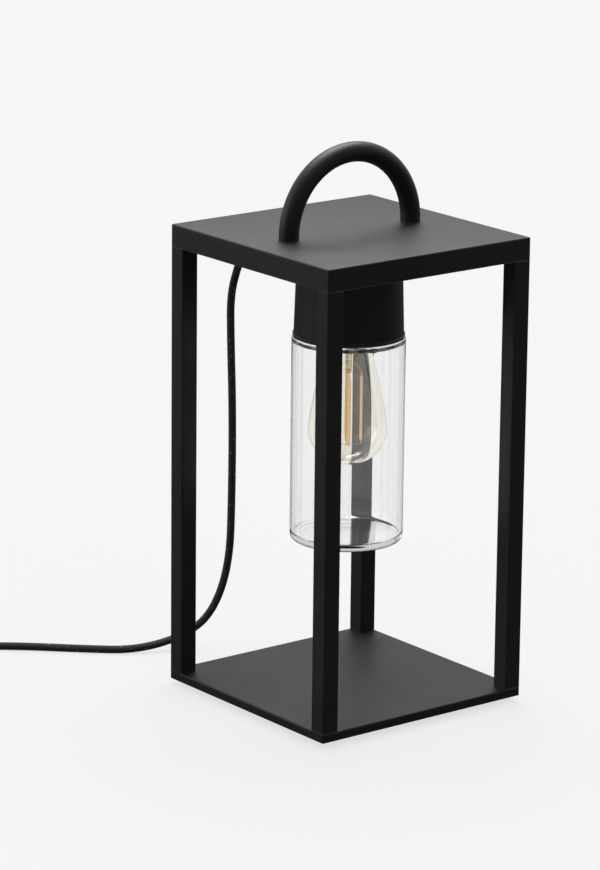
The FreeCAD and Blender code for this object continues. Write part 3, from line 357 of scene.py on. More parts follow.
braid = {
    "around": 9.0,  # yarn bundles each way round the cord
    "along": 1.6,  # bundles that cross a line along it, for each diameter
    # dark between the bundles and crest on their tops: painted shade in the grooves of the braid
    "dark": (0.0045, 0.0044, 0.0042),
    "crest": (0.014, 0.014, 0.0142),
    "crestPower": 0.4,  # below 1, a bundle keeps its height over most of its length
    "fibres": 4,  # in each bundle
    "fibreDepth": 0.12,  # against the bundle's height
    # painted glints: a paler colour on a few bundles, at their tops
    "paintedGlint": (0.20, 0.197, 0.19),
    "paintedGlintShare": 0.035,
    "paintedGlintPower": 3.0,  # the painted glints keep to the tops of the bundles
    "roughness": (0.78, 0.5),  # between the bundles and on top
    "bump": 0.8,
    "depth": 0.00035,
    "sheen": 0.08,
    "sheenRoughness": 0.4,
}


def braidMaterial(name, look):
    # two sets of helical bundles pass over each other in turn, with painted shade between them and painted
    # glints on their tops
    # U runs round the cord, V along it in diameters
    material, tree, shader = startMaterial(name)
    uv = addNode(tree, "ShaderNodeTexCoord").outputs["UV"]
    split = addNode(tree, "ShaderNodeSeparateXYZ", {"Vector": uv})
    around = calc(tree, "MULTIPLY", split.outputs[0], look["around"])
    along = calc(tree, "MULTIPLY", split.outputs[1], look["along"])
    rising = calc(tree, "ADD", around, along)
    falling = calc(tree, "SUBTRACT", around, along)
    cells = [calc(tree, "FLOOR", value) for value in (rising, falling)]
    parts = [calc(tree, "FRACT", value) for value in (rising, falling)]
    turn = calc(tree, "PINGPONG", calc(tree, "ADD", cells[0], cells[1]), 1.0)
    crests = []
    for part, other in ((parts[0], parts[1]), (parts[1], parts[0])):
        across = calc(tree, "SINE", calc(tree, "MULTIPLY", part, math.pi))
        lengthwise = calc(tree, "SINE", calc(tree, "MULTIPLY", other, math.pi))
        crests.append(calc(tree, "MULTIPLY", across, calc(tree, "POWER", lengthwise, look["crestPower"])))
    height = choose(tree, turn, *crests)
    acrossYarn = calc(tree, "MULTIPLY", choose(tree, turn, *parts), 2 * math.pi * look["fibres"])
    twist = calc(tree, "ADD", calc(tree, "SINE", acrossYarn), 1.0)
    fibres = calc(tree, "MULTIPLY", twist, look["fibreDepth"])
    cell = addNode(tree, "ShaderNodeCombineXYZ", {"X": cells[0], "Y": cells[1]}).outputs[0]
    # a few bundles picked at random get painted glints on their tops
    chance = addNode(tree, "ShaderNodeTexWhiteNoise", {"Vector": cell}, noise_dimensions="2D")
    picked = calc(tree, "LESS_THAN", chance.outputs["Value"], look["paintedGlintShare"])
    paintedGlint = calc(tree, "MULTIPLY", picked, calc(tree, "POWER", height, look["paintedGlintPower"]))
    # the colour follows the bundles' height: painted shade between them, paler on top
    tone = blendColour(tree, height, look["dark"], look["crest"])
    tone = blendColour(tree, paintedGlint, tone, look["paintedGlint"])
    tree.links.new(tone, shader.inputs["Base Color"])
    tree.links.new(spread(tree, height, *look["roughness"], 0.0, 1.0), shader.inputs["Roughness"])
    giveBump(tree, shader, calc(tree, "ADD", height, fibres), look["bump"], look["depth"])
    shader.inputs["Sheen Weight"].default_value = look["sheen"]
    shader.inputs["Sheen Roughness"].default_value = look["sheenRoughness"]
    return material


materials["blackBraid"] = braidMaterial("blackBraid", braid)
print("finishes made:", len(materials))


# cord: one route from the strain relief to the switch, one from there to the plug

cordRoute = {
    "diameter": 0.0064,
    "sides": 20,
    "exit": (0.0, 0.120385, 0.362885),  # the end of the drooping strain relief
    "exitRun": 0.016,
    "droop": 45.0,  # degrees below level, where the cord leaves the strain relief
    "hanging": [
        (0.0005, 0.145, 0.326), (0.001, 0.1565, 0.2985), (0.002, 0.157, 0.260), (0.0035, 0.156, 0.201),
        (0.003, 0.1555, 0.130), (0.0, 0.154, 0.070), (-0.014, 0.158, 0.029), (-0.036, 0.167, 0.0105),
    ],
    "lying": [
        (-0.078, 0.177, 0.0032), (-0.112, 0.206, 0.0032), (-0.145, 0.238, 0.0032), (-0.170, 0.2575, 0.0032),
    ],
    "intoSwitch": [(-0.194, 0.269, 0.0036), (-0.216, 0.270, 0.008), (-0.229, 0.270, 0.008)],
    "outOfSwitch": [
        (-0.301, 0.270, 0.008), (-0.316, 0.270, 0.008), (-0.331, 0.2645, 0.0052), (-0.343, 0.2525, 0.0034),
        (-0.349, 0.237, 0.0032),
    ],
    "coilCentre": (-0.304, 0.188),
    "coilRadius": 0.038,
    "coilStep": 0.007,  # from turn to turn and from layer to layer
    "coilTurns": 4,
    "coilPoints": 20,  # for each turn
    "climbEase": 0.25,  # turns over which the cord climbs to the second layer, on either side of the middle
    "leadIn": 0.020,  # straight run into the coil
    "leadOut": 0.014,
    "plugAside": 0.002,  # from the coil's end to the plug
    "plugAhead": 0.057,
    "plugHeight": 0.007,  # the plug lies on its flat side
    "plugBend": (0.001, 0.027, 0.001),  # last places before the plug, from its end of the cord
    "plugRun": (0.0, 0.013, 0.0),
}


def coilPlace(turns):
    half = cordRoute["coilTurns"] / 2
    ease = cordRoute["climbEase"]
    step = cordRoute["coilStep"]
    fromMiddle = turns - half
    away = (fromMiddle ** 2 + ease ** 2) / (2 * ease) if abs(fromMiddle) < ease else abs(fromMiddle)
    radius = cordRoute["coilRadius"] + step * (away - half / 2)
    climb = min(max((fromMiddle + ease) / (2 * ease), 0), 1)
    height = cordRoute["diameter"] / 2 + step * climb ** 2 * (3 - 2 * climb)
    angle = math.pi + 2 * math.pi * turns
    x, y = cordRoute["coilCentre"]
    return Vector((x + radius * math.cos(angle), y + radius * math.sin(angle), height))


def coilHeading(turns):
    small = 1e-4
    return (coilPlace(turns + small) - coilPlace(turns - small)).normalized()


def lampCordPoints():
    leave = Vector(cordRoute["exit"])
    droop = math.radians(cordRoute["droop"])
    ahead = leave + Vector((0, math.cos(droop), -math.sin(droop))) * cordRoute["exitRun"]
    rest = cordRoute["hanging"] + cordRoute["lying"] + cordRoute["intoSwitch"]
    return [leave, ahead] + [Vector(place) for place in rest]


def plugCordPoints():
    turns = cordRoute["coilTurns"]
    thick = cordRoute["diameter"]
    start = coilPlace(0) - coilHeading(0) * thick
    end = coilPlace(turns) + coilHeading(turns) * thick
    plugEnd = end - Vector((cordRoute["plugAside"], cordRoute["plugAhead"], 0))
    plugEnd.z = cordRoute["plugHeight"]
    points = [Vector(place) for place in cordRoute["outOfSwitch"]]
    points += [start - coilHeading(0) * cordRoute["leadIn"], start]
    count = turns * cordRoute["coilPoints"]
    points += [coilPlace(turns * k / count) for k in range(count + 1)]
    points += [end, end + coilHeading(turns) * cordRoute["leadOut"]]
    return points + [plugEnd + Vector(cordRoute["plugBend"]), plugEnd + Vector(cordRoute["plugRun"]), plugEnd]


def smoothRoute(name, points):  # places along the smooth line that the points control
    curve = bpy.data.curves.new(name, "CURVE")
    curve.dimensions = "3D"
    curve.resolution_u = 12
    spline = curve.splines.new("NURBS")
    spline.points.add(len(points) - 1)
    for point, place in zip(spline.points, points):
        point.co = (*place, 1.0)
    spline.order_u = 3  # the line touches the middle of each leg between two points
    spline.use_endpoint_u = True
    holder = bpy.data.objects.new(name, curve)
    bpy.context.scene.collection.objects.link(holder)
    bpy.context.view_layer.update()
    line = bpy.data.meshes.new_from_object(holder)
    places = [vertex.co.copy() for vertex in line.vertices]
    bpy.data.objects.remove(holder)
    bpy.data.meshes.remove(line)
    return places


def ringsAlong(places, radii, sides):
    # rings carried along the line without twist, and the run of each one from its start
    around = [2 * math.pi * k / sides for k in range(sides)]
    vertices = []
    travelled = [0.0]
    heading = (places[1] - places[0]).normalized()
    side = heading.orthogonal().normalized()
    for k, (place, radius) in enumerate(zip(places, radii)):
        before, after = places[max(k - 1, 0)], places[min(k + 1, len(places) - 1)]
        newHeading = (after - before).normalized()
        side = (heading.rotation_difference(newHeading) @ side).normalized()
        heading = newHeading
        other = heading.cross(side)
        vertices += [place + (side * math.cos(a) + other * math.sin(a)) * radius for a in around]
        if k:
            travelled.append(travelled[-1] + (place - places[k - 1]).length)
    return vertices, travelled


def sweepTube(name, places, radii, sides):  # U round the tube, V along it in diameters
    if not isinstance(radii, list):
        radii = [radii] * len(places)
    vertices, travelled = ringsAlong(places, radii, sides)
    last = len(places) - 1
    outlines = [
        [(s, k), (s + 1, k), (s + 1, k + 1), (s, k + 1)] for k in range(last) for s in range(sides)
    ]
    outlines += [[(s, 0) for s in reversed(range(sides))], [(s, last) for s in range(sides)]]
    faces = [[k * sides + s % sides for s, k in outline] for outline in outlines]
    mesh = bpy.data.meshes.new(name)
    mesh.from_pydata([tuple(v) for v in vertices], [], faces)
    layer = mesh.uv_layers.new(name="alongCord")
    corners = [corner for outline in outlines for corner in outline]
    for item, (s, k) in zip(layer.data, corners):
        item.uv = (s / sides, travelled[k] / (2 * radii[0]))
    mesh.update()
    piece = bpy.data.objects.new(name, mesh)
    bpy.context.scene.collection.objects.link(piece)
    smooth(piece, 50)
    return piece, travelled[-1]


lampLine = smoothRoute("lampLine", lampCordPoints())
lampCord, lampCordLength = sweepTube("lampCord", lampLine, cordRoute["diameter"] / 2, cordRoute["sides"])
putOn(lampCord, "lamp", materials["blackBraid"], "black_braid", "power_cord")
plugLine = smoothRoute("plugLine", plugCordPoints())
plugCord, plugCordLength = sweepTube("plugCord", plugLine, cordRoute["diameter"] / 2, cordRoute["sides"])
putOn(plugCord, "lamp", materials["blackBraid"], "black_braid", "middle_cord", "cord_coil", "plug_cord")
print("cord laid: %.3f m and %.3f m" % (lampCordLength, plugCordLength))


# pieces turned from one circle, ring by ring

def roundedOutline(points, steps=5):
    # (radius, height, corner radius) points, the corners as arcs
    outline = [points[0][:2]]
    for before, corner, after in zip(points, points[1:], points[2:]):
        bend = corner[2]
        here = Vector(corner[:2])
        if not bend:
            outline.append(corner[:2])
            continue
        back = (Vector(before[:2]) - here).normalized()
        ahead = (Vector(after[:2]) - here).normalized()
        half = back.angle(ahead) / 2
        trim = bend / math.tan(half)
        middle = here + (back + ahead).normalized() * (bend / math.sin(half))
        first, last = here + back * trim - middle, here + ahead * trim - middle
        turn = first.angle_signed(last)
        for k in range(steps + 1):
            spoke = first.copy()
            spoke.rotate(Matrix.Rotation(-turn * k / steps, 2))
            outline.append(tuple(middle + spoke))
    return outline + [points[-1][:2]]


def turnedPiece(name, outline, segments=96, ring=True):
    # ring: the outline comes back to its first point; otherwise its two ends are closed flat
    clearSelection()
    radius, height = outline[0]
    bpy.ops.mesh.primitive_circle_add(vertices=segments, radius=radius, location=(0, 0, height))
    piece = bpy.context.object
    piece.name = name
    settle(piece)
    bpy.ops.object.mode_set(mode="EDIT")
    bpy.ops.mesh.select_all(action="SELECT")
    for (radius, height), (nextRadius, nextHeight) in zip(outline, outline[1:]):
        bpy.ops.mesh.extrude_region_move(TRANSFORM_OT_translate={"value": (0, 0, nextHeight - height)})
        ratio = nextRadius / radius
        bpy.ops.transform.resize(value=(ratio, ratio, 1), center_override=(0, 0, nextHeight))
    if not ring:
        bpy.ops.mesh.select_all(action="DESELECT")
        bpy.ops.mesh.select_mode(type="EDGE")
        bpy.ops.mesh.select_non_manifold()
        bpy.ops.mesh.fill_holes(sides=0)
    bpy.ops.object.mode_set(mode="OBJECT")
    faceOutwards(piece, 1e-6)
    smooth(piece)
    return piece


def copyPiece(piece, place):  # a copy with its own mesh, moved by a matrix
    twin = piece.copy()
    twin.data = piece.data.copy()
    twin.data.transform(place)
    bpy.context.scene.collection.objects.link(twin)
    return twin


def cutThread(piece, thread, low, high):
    # rings between two levels sink into a helical wave that fades out at both ends
    for vertex in piece.data.vertices:
        x, y, z = vertex.co
        if not low < z < high or math.hypot(x, y) < thread["core"]:
            continue
        fade = min((z - low) / thread["pitch"], (high - z) / thread["pitch"], 1)
        wave = 0.5 - 0.5 * math.cos(2 * math.pi * z / thread["pitch"] - math.atan2(y, x))
        ratio = 1 - thread["depth"] * fade * wave / math.hypot(x, y)
        vertex.co = (x * ratio, y * ratio, z)
    piece.data.update()


# glass cylinder: neck, shoulder, straight wall, rounded bottom with a dished floor

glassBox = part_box("glass_shade")
shade = {
    "radius": 0.045,
    "neckRadius": 0.04097,
    "neckHeight": 0.012,
    "wall": 0.003,
    "bottom": 0.0032,  # at the middle of the dished floor inside
    "dish": 0.0024,
    "dishRings": 12,
    "outerRound": 0.0042,
    "innerRound": 0.0020,
    "shoulderRound": 0.0016,
    "neckFootRound": 0.0006,
    "lipRound": 0.0009,
    "neckDrop": 0.001,  # below the shoulder the inside slopes out, from here
    "neckDropRound": 0.0008,
    "wallDrop": 0.004,  # to here
    "wallDropRound": 0.002,
    "pole": 0.0004,  # radius of the ring round the pole, closed flat
    "roundSteps": 7,
    "segments": 288,
}


def makeGlassShade(size):
    low, top = glassBox[0].z, glassBox[1].z
    shoulder = top - size["neckHeight"]
    inner = size["radius"] - size["wall"]
    neckInner = size["neckRadius"] - size["wall"]
    pole = size["pole"]
    straight = [shoulder - (shoulder - low) * share for share in (0.25, 0.5, 0.75)]
    floor = low + size["bottom"]
    shares = [k / size["dishRings"] for k in range(size["dishRings"] - 1, 0, -1)]
    outline = roundedOutline([
        (pole, low, 0), (size["radius"], low, size["outerRound"]),
        *[(size["radius"], height, 0) for height in reversed(straight)],
        (size["radius"], shoulder, size["shoulderRound"]),
        (size["neckRadius"], shoulder, size["neckFootRound"]),
        (size["neckRadius"], top, size["lipRound"]), (neckInner, top, size["lipRound"]),
        (neckInner, shoulder - size["neckDrop"], size["neckDropRound"]),
        (inner, shoulder - size["wallDrop"], size["wallDropRound"]),
        *[(inner, height, 0) for height in straight],
        (inner, floor + size["dish"], size["innerRound"]),
        *[(inner * share, floor + size["dish"] * share ** 2, 0) for share in shares], (pole, floor, 0),
    ], size["roundSteps"])
    return turnedPiece("glassShade", outline, size["segments"], ring=False)


glassShade = makeGlassShade(shade)
putOn(glassShade, "glass", materials["clearGlass"], "clear_glass", "glass_shade")
glassShade.visible_shadow = False
print("glass turned")


# bulb: pear envelope, cap, stem, filaments and wires

bulbBox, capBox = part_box("bulb_glass"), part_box("bulb_cap")
bulb = {
    "radius": 0.0315,
    "neck": 0.0124,
    "end": 0.028,  # height of the half ellipse that forms the round end
    "flankLow": 0.165,  # heights of the flank's two poles, as shares of its height
    "flankHigh": 0.70,
    "flankSpread": 0.42,
    "skin": 0.0006,
    "pole": 0.015,  # share of the round end that is closed flat round its pole
    "steps": 22,
    "segments": 96,
}


def bulbOutline(size, inset, topHeight):
    # round end from the pole upwards, then the flank as one smooth curve into the neck
    radius, neck, end = size["radius"] - inset, size["neck"] - inset, size["end"] - inset
    middle = bulbBox[0].z + size["end"]
    rim = capBox[0].z
    steps = size["steps"]
    outline = []
    for k in range(steps + 1):
        angle = math.pi / 2 * (size["pole"] + (1 - size["pole"]) * k / steps)
        outline.append((radius * math.sin(angle), middle - end * math.cos(angle)))
    poles = [
        Vector((radius, middle)),
        Vector((radius, middle + size["flankLow"] * (rim - middle))),
        Vector((neck + size["flankSpread"] * (radius - neck), middle + size["flankHigh"] * (rim - middle))),
        Vector((neck, rim)),
    ]
    for k in range(1, steps + 1):
        t = k / steps
        place = (poles[0] * (1 - t) ** 3 + poles[1] * 3 * t * (1 - t) ** 2
                 + poles[2] * 3 * t ** 2 * (1 - t) + poles[3] * t ** 3)
        outline.append(tuple(place))
    return outline + [(neck, topHeight)]


def makeEnvelope(size):
    top = bulbBox[1].z
    outer = bulbOutline(size, 0.0, top)
    inner = bulbOutline(size, size["skin"], top)
    return turnedPiece("bulbEnvelope", outer + inner[::-1], size["segments"], ring=False)


bulbEnvelope = makeEnvelope(bulb)
putOn(bulbEnvelope, "bulb", materials["tintedGlass"], "tinted_glass", "bulb_glass")
bulbEnvelope.visible_shadow = False
print("bulb blown")


bulbCap = {
    "radius": 0.0131,
    "wall": 0.0004,
    "shoulder": 0.0112,
    "shoulderOut": 0.0009,  # the slope below the shoulder
    "shoulderDown": 0.0012,
    "opening": 0.006,
    "plainRim": 0.005,
    "plainTop": 0.003,
    "thread": {"pitch": 0.0036, "depth": 0.0011, "core": 0.0122},
    "rings": 52,
    "segments": 64,
}


def makeBulbCap(size):
    low, high = capBox[0].z, capBox[1].z
    wall = size["wall"]
    start, end = low + size["plainRim"], high - size["plainTop"]
    levels = [start + (end - start) * k / size["rings"] for k in range(size["rings"] + 1)]
    outside = [(size["radius"], low)] + [(size["radius"], level) for level in levels]
    outside.append((size["shoulder"] + size["shoulderOut"], high - size["shoulderDown"]))
    outside += [(size["shoulder"], high), (size["opening"], high)]
    inside = [(max(radius - wall, size["opening"]), min(level, high - wall)) for radius, level in outside]
    outline = outside + inside[::-1]
    piece = turnedPiece("bulbCap", outline + outline[:1], size["segments"])
    cutThread(piece, size["thread"], start, end)
    smooth(piece, 50)
    return piece


putOn(makeBulbCap(bulbCap), "bulb", materials["nickel"], "nickel_cap", "bulb_cap")


filament = {
    "count": 4,
    "firstTurn": -31.0,  # degrees
    "circle": 0.0107,
    "radius": 0.00105,
    "roundedEnd": [(0.3, 0.0), (0.8, 0.3), (1.0, 1.0)],  # distance from the axis and run, in radii
    "segments": 16,
    "tabRadius": 0.0005,
    "tabRun": 0.0028,
    "tabHold": 0.3,  # the share of that run again, inside the rod
    "tabSides": 10,
    "wire": 0.00017,
    "wireSides": 8,
    "stemRadius": 0.0022,
    "rodSides": 12,
    "footShare": 0.8,  # of the stem's radius, where the upper wires leave the stem
    "footAbove": 0.006,  # above the stem's tip
    "footRun": 0.003,
    "upperRise": 0.0012,  # above the top tab
    "lowerLean": 0.75,  # the share of the way out where a lower wire bends
    "lowerDip": 0.001,
    "hubDrop": 0.004,
    "hubGap": 0.001,
    "coilWire": 0.0004,
    "coilTurns": 12,
    "coilLow": 0.2645,
    "coilHigh": 0.2835,
    "coilRadius": 0.0026,
    "coilPoints": 18,  # for each turn
}


def filamentSpokes(size):
    turns = [math.radians(size["firstTurn"] + 360 * k / size["count"]) for k in range(size["count"])]
    return [Vector((math.cos(turn), math.sin(turn), 0)) for turn in turns]


def filamentRods(size):
    low, high = (corner.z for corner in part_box("bulb_filaments"))
    radius = size["radius"]
    outline = [(radius * out, low + radius * run) for out, run in size["roundedEnd"]]
    outline += [(radius * out, high - radius * run) for out, run in reversed(size["roundedEnd"])]
    rod = turnedPiece("filamentRod", outline, size["segments"], ring=False)
    spokes = filamentSpokes(size)
    rods = [copyPiece(rod, Matrix.Translation(spoke * size["circle"])) for spoke in spokes]
    bpy.data.objects.remove(rod)
    return joinPieces("filamentRods", rods)


def up(height):
    return Vector((0, 0, height))


def spokeTubes(size, spoke, low, high, tip, hub):
    # the wires that bend to one rod from the stem and from the hub, and the tabs at its ends
    tab = size["tabRun"]
    rod = spoke * size["circle"]
    foot = spoke * size["stemRadius"] * size["footShare"] + up(tip + size["footAbove"])
    top, bottom = rod + up(high + tab), rod + up(low - tab)
    upper = [foot, foot + spoke * size["footRun"], top + up(size["upperRise"]), top]
    lower = [hub, hub.lerp(bottom, size["lowerLean"]), bottom - up(size["lowerDip"]), bottom]
    tubes = []
    for name, points in (("upperWire", upper), ("lowerWire", lower)):
        tubes.append(sweepTube(name, smoothRoute(name, points), size["wire"], size["wireSides"])[0])
    hold = tab * size["tabHold"]
    for start, end in ((high - hold, high + tab), (low - tab, low + hold)):
        route = [rod + up(start), rod + up(end)]
        tubes.append(sweepTube("tab", route, size["tabRadius"], size["tabSides"])[0])
    return tubes


def coilPlaces(size):
    steps = size["coilTurns"] * size["coilPoints"]
    places = []
    for k in range(steps + 1):
        turn = 2 * math.pi * k / size["coilPoints"]
        height = size["coilLow"] + (size["coilHigh"] - size["coilLow"]) * k / steps
        places.append(Vector((math.cos(turn), math.sin(turn), 0)) * size["coilRadius"] + up(height))
    return places


def filamentWires(size):
    low, high = (corner.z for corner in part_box("bulb_filaments"))
    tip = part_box("bulb_stem")[0].z
    hub = up(low - size["hubDrop"])
    tubes = []
    for spoke in filamentSpokes(size):
        tubes += spokeTubes(size, spoke, low, high, tip, hub)
    centre = [up(tip + size["hubGap"]), hub]
    tubes.append(sweepTube("centreRod", centre, size["stemRadius"] / 2, size["rodSides"])[0])
    tubes.append(sweepTube("coil", coilPlaces(size), size["coilWire"], size["wireSides"])[0])
    return joinPieces("filamentWires", tubes)


putOn(filamentRods(filament), "bulb", materials["phosphor"], "filament_phosphor", "bulb_filaments")
putOn(filamentWires(filament), "bulb", materials["goldWire"], "gold_wire", "filament_wires")
print("filaments wired")


# lampholder shell, with the shallow thread that its sheet is rolled to

shell = {
    "radius": 0.0139,
    "wall": 0.0005,
    "plain": 0.002,
    "rings": 60,
    "segments": 64,
    "thread": {"pitch": 0.0036, "depth": 0.00022, "core": 0.0130},
}


def makeShell(size):
    low, high = (corner.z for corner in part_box("screw_shell"))
    levels = [low + (high - low) * k / size["rings"] for k in range(size["rings"] + 1)]
    inner = size["radius"] - size["wall"]
    outline = [(size["radius"], level) for level in levels] + [(inner, level) for level in reversed(levels)]
    piece = turnedPiece("screwShell", outline + outline[:1], size["segments"])
    cutThread(piece, size["thread"], low + size["plain"], high - size["plain"])
    smooth(piece, 50)
    return piece


putOn(makeShell(shell), "lamp", materials["brass"], "brass", "screw_shell")


# strain relief: flange inside the wall, neck, collar and a drooping ribbed nose

relief = {
    "inside": 0.0965,  # Y of the flange's inner face
    "straight": 0.0055,  # from there to the collar's outer face
    "height": 0.3705,
    "bend": 0.026,
    "droop": cordRoute["droop"],
    "base": [  # run along it and radius
        (0.0, 0.0056), (0.0003, 0.0059), (0.002, 0.0059), (0.002, 0.0046), (0.0035, 0.0046),
        (0.0035, 0.0059), (0.0038, 0.0062), (0.0050, 0.0062), (0.0055, 0.0058),
    ],
    "root": 0.0052,
    "tip": 0.0041,
    "ribs": 7,
    "ribShape": [(0.0, 0), (0.42, 0), (0.50, 1), (0.84, 1), (0.92, 0)],  # share of a rib, sunk or not
    "groove": 0.0007,
    "endRound": 0.0004,
    "apart": 1e-7,  # keeps rings at one run in their order
    "sides": 40,
}


def reliefPlace(run):
    turn = max(run - relief["straight"], 0) / relief["bend"]
    y = relief["inside"] + min(run, relief["straight"]) + relief["bend"] * math.sin(turn)
    return Vector((0, y, relief["height"] - relief["bend"] * (1 - math.cos(turn))))


def makeRelief(size):
    noseRun = size["bend"] * math.radians(size["droop"])
    stations = list(size["base"])
    for k in range(size["ribs"]):
        for share, sunk in size["ribShape"]:
            along = (k + share) / size["ribs"]
            radius = size["root"] + (size["tip"] - size["root"]) * along
            stations.append((size["straight"] + noseRun * along, radius - size["groove"] * sunk))
    end = size["straight"] + noseRun
    stations += [(end - size["endRound"], size["tip"]), (end, size["tip"] - size["endRound"])]
    places = [reliefPlace(run + k * size["apart"]) for k, (run, _) in enumerate(stations)]
    return sweepTube("strainRelief", places, [radius for _, radius in stations], size["sides"])[0]


strainRelief = makeRelief(relief)
putOn(strainRelief, "lamp", materials["blackPlastic"], "black_plastic", "strain_relief")
print("strain relief ribbed")


# finger ridges on the plug's two narrow sides, and the marks on the rocker

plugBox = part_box("plug_body")
ridge = {
    "count": 6,
    "size": (0.0009, 0.0007, 0.0052),  # out of the side, along it, up it
    "round": 0.0003,
    "spacing": 0.0021,
    "first": 0.0040,  # from the widest part of the grip back along its flank
    "grip": 0.0198,  # from the plug's face to that widest part
    "halfWidth": 0.0155,
    "halfBack": 0.0085,
    "flankRun": 0.0162,
    "pinRun": 0.019,
}


def makeRidges(size):
    middle = (plugBox[0] + plugBox[1]) / 2
    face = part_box("plug_pins")[0].y + size["pinRun"]
    slope = (size["halfBack"] - size["halfWidth"]) / size["flankRun"]
    ridges = []
    for side in (-1, 1):
        for k in range(size["count"]):
            run = size["first"] + size["spacing"] * k
            place = (middle.x + side * (size["halfWidth"] + slope * run), face + size["grip"] + run, middle.z)
            bpy.ops.mesh.primitive_cube_add(size=1, location=place, rotation=(0, 0, -side * math.atan(slope)))
            block = bpy.context.object
            block.scale = size["size"]
            settle(block)
            useModifier(block, "BEVEL", width=size["round"], segments=3)
            ridges.append(block)
    return joinPieces("plugRidges", ridges)


plugRidges = makeRidges(ridge)
putOn(plugRidges, "lamp", materials["blackMoulding"], "black_moulding")
smooth(plugRidges)


mark = {
    "pivot": (-0.265, 0.270, 0.014),
    "turn": 7.0,  # degrees, the rocker's off position
    "reach": 0.0062,  # from the rocker's middle along its slope
    "slope": 11.0,  # degrees of its two halves
    "middle": 0.0184,  # height of its middle before it turns
    "barSize": (0.0006, 0.0036, 0.0002),
    "ringRadius": 0.0016,
    "ringWire": 0.00028,
    "ringShape": (0.85, 1.15, 0.35),  # stretched along the rocker's axis and flattened
}


def makeMarks(size):
    # a bar and a ring, inlaid in the rocker's two halves
    slope = math.radians(size["slope"])
    pivot = Vector(size["pivot"])
    clearSelection()
    bpy.ops.mesh.primitive_cube_add(size=1)
    bar = bpy.context.object
    bar.scale = size["barSize"]
    settle(bar)
    bpy.ops.mesh.primitive_torus_add(major_radius=size["ringRadius"], minor_radius=size["ringWire"],
                                     major_segments=40, minor_segments=10)
    ring = bpy.context.object
    ring.scale = size["ringShape"]
    settle(ring)
    turned = Matrix.Translation(pivot) @ Matrix.Rotation(math.radians(size["turn"]), 4, "Y")
    for piece, side in ((bar, 1), (ring, -1)):
        rise = size["middle"] - pivot.z + size["reach"] * math.tan(slope)
        place = Matrix.Translation((side * size["reach"], 0, rise)) @ Matrix.Rotation(-side * slope, 4, "Y")
        piece.data.transform(turned @ place)
    return joinPieces("rockerMarks", [bar, ring])


rockerMarks = makeMarks(mark)
putOn(rockerMarks, "rocker", materials["whitePlastic"], "white_plastic")
smooth(rockerMarks, 60)
print("plug and rocker finished")


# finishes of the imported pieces

nodeFinishes = {
    "blackPowderCoat": [
        "top_housing", "front_left_post", "front_right_post", "back_left_post", "back_right_post", "base_pan",
        "carry_handle", "shade_cup",
    ],
    "blackPlate": ["base_cover", "cover_plate"],
    "zincSteel": [
        "base_cover_screws", "cover_plate_screws", "handle_screws", "nipple_nut", "nipple_washer",
        "threaded_nipple", "cord_clamp_screws", "switch_screws",
    ],
    "blackRubber": ["front_foot_strip", "back_foot_strip", "shade_seal"],
    "blackPlastic": [
        "lampholder_skirt", "lampholder_dome", "cord_clamp_base", "cord_clamp_strap", "bulb_insulator",
    ],
    "blackMoulding": ["switch_lower_case", "switch_upper_case", "plug_body", "switch_rocker"],
    "whitePlastic": ["terminal_block"],
    "ceramic": ["contact_block"],
    "brass": ["centre_contact", "switch_contacts"],
    "nickel": ["bulb_contact", "plug_pins"],
    "stemGlass": ["bulb_stem"],
    "brownCore": ["supply_cores", "lamp_cores"],
    "blackBraid": ["inner_cord"],
}
for finishName, names in nodeFinishes.items():
    for nodeName in names:
        nodes[nodeName].material_slots[0].material = materials[finishName]
nodes["bulb_stem"].visible_shadow = False
print("packed pieces dressed")


# floor, light and surroundings

studio = {
    "pale": 0.921,
    "floorTone": 0.62,  # as the lamp sees it
    "floorPale": 0.975,  # as the camera sees it
    "floorSize": 14.0,
    "floorRoughness": 0.9,
    "floorEven": 0.75,  # how far the floor is evened out for the camera, so that its shadow stays soft
    "floorInGloss": (0.07, 0.064, 0.055),
    "worldInGloss": (0.865, 0.888, 0.935),
    "worldInDimGloss": (0.20, 0.20, 0.205),
    "brightSide": (0.615, 0.789, 0.0),  # the studio is bright behind the lamp and dim before it
    "brightFrom": -0.25,
    "brightTo": 0.65,
    "worldOnSurfaces": (0.60, 0.60, 0.60),
}
keyLight = {"direction": (0.28, 0.36, 1.0), "strength": 1.25, "angle": 50.0}  # from above and behind
softbox = {"place": (0.215, 0.276, 1.15), "aim": (0.0, 0.0, 0.37), "power": 11.5, "size": 0.65}
sideLight = {"direction": (-0.80, 0.55, 0.20), "strength": 0.95, "angle": 50.0}  # low, from behind the left


def rayShare(tree, *kinds):
    path = addNode(tree, "ShaderNodeLightPath")
    share = path.outputs[kinds[0]]
    for kind in kinds[1:]:
        share = calc(tree, "MAXIMUM", share, path.outputs[kind])
    return share


def seenOrGloss(tree):  # straight to the camera or through glass, and by reflection only
    seen = rayShare(tree, "Is Camera Ray", "Is Transmission Ray")
    gloss = calc(tree, "MULTIPLY", rayShare(tree, "Is Glossy Ray"), calc(tree, "SUBTRACT", 1.0, seen))
    return seen, gloss


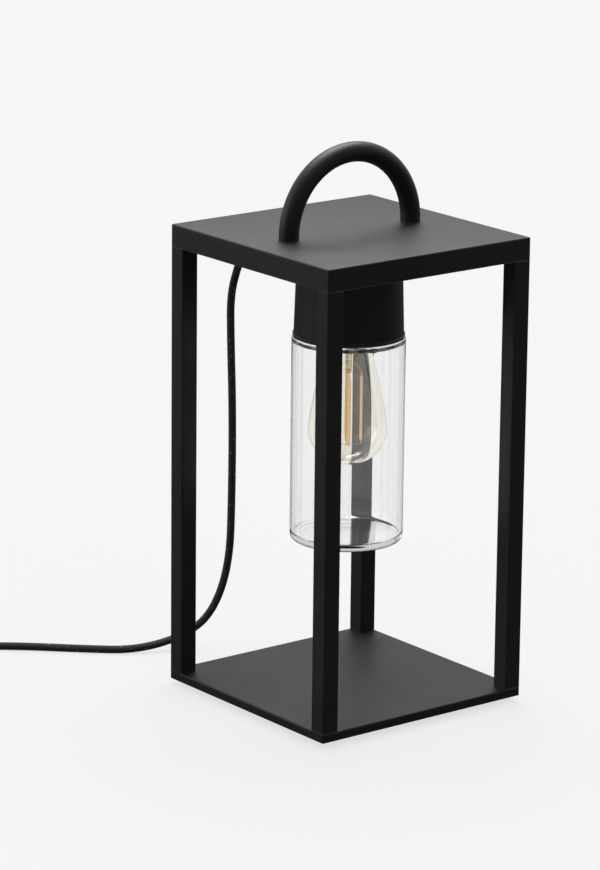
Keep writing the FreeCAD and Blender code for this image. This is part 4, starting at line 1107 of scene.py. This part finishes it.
def makeSurroundings(look):
    world = bpy.data.worlds.new("studioWorld")
    bpy.context.scene.world = world
    world.use_nodes = True
    tree = world.node_tree
    seen, gloss = seenOrGloss(tree)
    heading = addNode(tree, "ShaderNodeTexCoord").outputs["Generated"]
    sides = {0: heading, 1: look["brightSide"]}
    facing = addNode(tree, "ShaderNodeVectorMath", sides, operation="DOT_PRODUCT").outputs["Value"]
    ramp = {"Value": facing, "From Min": look["brightFrom"], "From Max": look["brightTo"]}
    bright = addNode(tree, "ShaderNodeMapRange", ramp, interpolation_type="SMOOTHSTEP")
    inGloss = blendColour(tree, bright.outputs[0], look["worldInDimGloss"], look["worldInGloss"])
    colour = blendColour(tree, gloss, look["worldOnSurfaces"], inGloss)
    colour = blendColour(tree, seen, colour, (look["pale"],) * 3)
    tree.links.new(colour, tree.nodes["Background"].inputs["Color"])


def makeFloor(look):
    clearSelection()
    bpy.ops.mesh.primitive_plane_add(size=look["floorSize"], location=(0, 0, 0))
    floor = bpy.context.object
    floor.name = "studioFloor"
    material, tree, shader = startMaterial("floorPaint")
    seen, gloss = seenOrGloss(tree)
    paint = blendColour(tree, seen, (look["floorTone"],) * 3, (look["floorPale"],) * 3)
    tree.links.new(paint, shader.inputs["Base Color"])
    shader.inputs["Roughness"].default_value = look["floorRoughness"]
    shader.inputs["Specular IOR Level"].default_value = 0.0
    evenTone = blendColour(tree, seen, look["floorInGloss"], (look["pale"],) * 3)
    even = addNode(tree, "ShaderNodeEmission", {"Color": evenTone})
    share = calc(tree, "ADD", calc(tree, "MULTIPLY", seen, look["floorEven"]), gloss)
    mixed = addNode(tree, "ShaderNodeMixShader", {0: share, 1: shader.outputs[0], 2: even.outputs[0]})
    tree.links.new(mixed.outputs[0], tree.nodes["Material Output"].inputs["Surface"])
    dress(floor, material)


def placeLight(data, direction):
    light = bpy.data.objects.new(data.name, data)
    bpy.context.scene.collection.objects.link(light)
    light.rotation_mode = "QUATERNION"
    light.rotation_quaternion = Vector(direction).to_track_quat("Z", "Y")
    return light


def makeSun(name, look):
    data = bpy.data.lights.new(name, "SUN")
    data.energy = look["strength"]
    data.angle = math.radians(look["angle"])
    return placeLight(data, look["direction"])


def makeSoftbox(name, look):
    data = bpy.data.lights.new(name, "AREA")
    data.energy = look["power"]
    data.size = look["size"]
    light = placeLight(data, Vector(look["place"]) - Vector(look["aim"]))
    light.location = look["place"]
    return light


makeSurroundings(studio)
makeFloor(studio)
makeSun("keyLight", keyLight).visible_glossy = False  # the key lights surfaces, the other two show in gloss
makeSoftbox("softbox", softbox).visible_diffuse = False
makeSun("sideLight", sideLight).visible_diffuse = False
bpy.context.scene.view_settings.view_transform = "Standard"
print("studio lit")
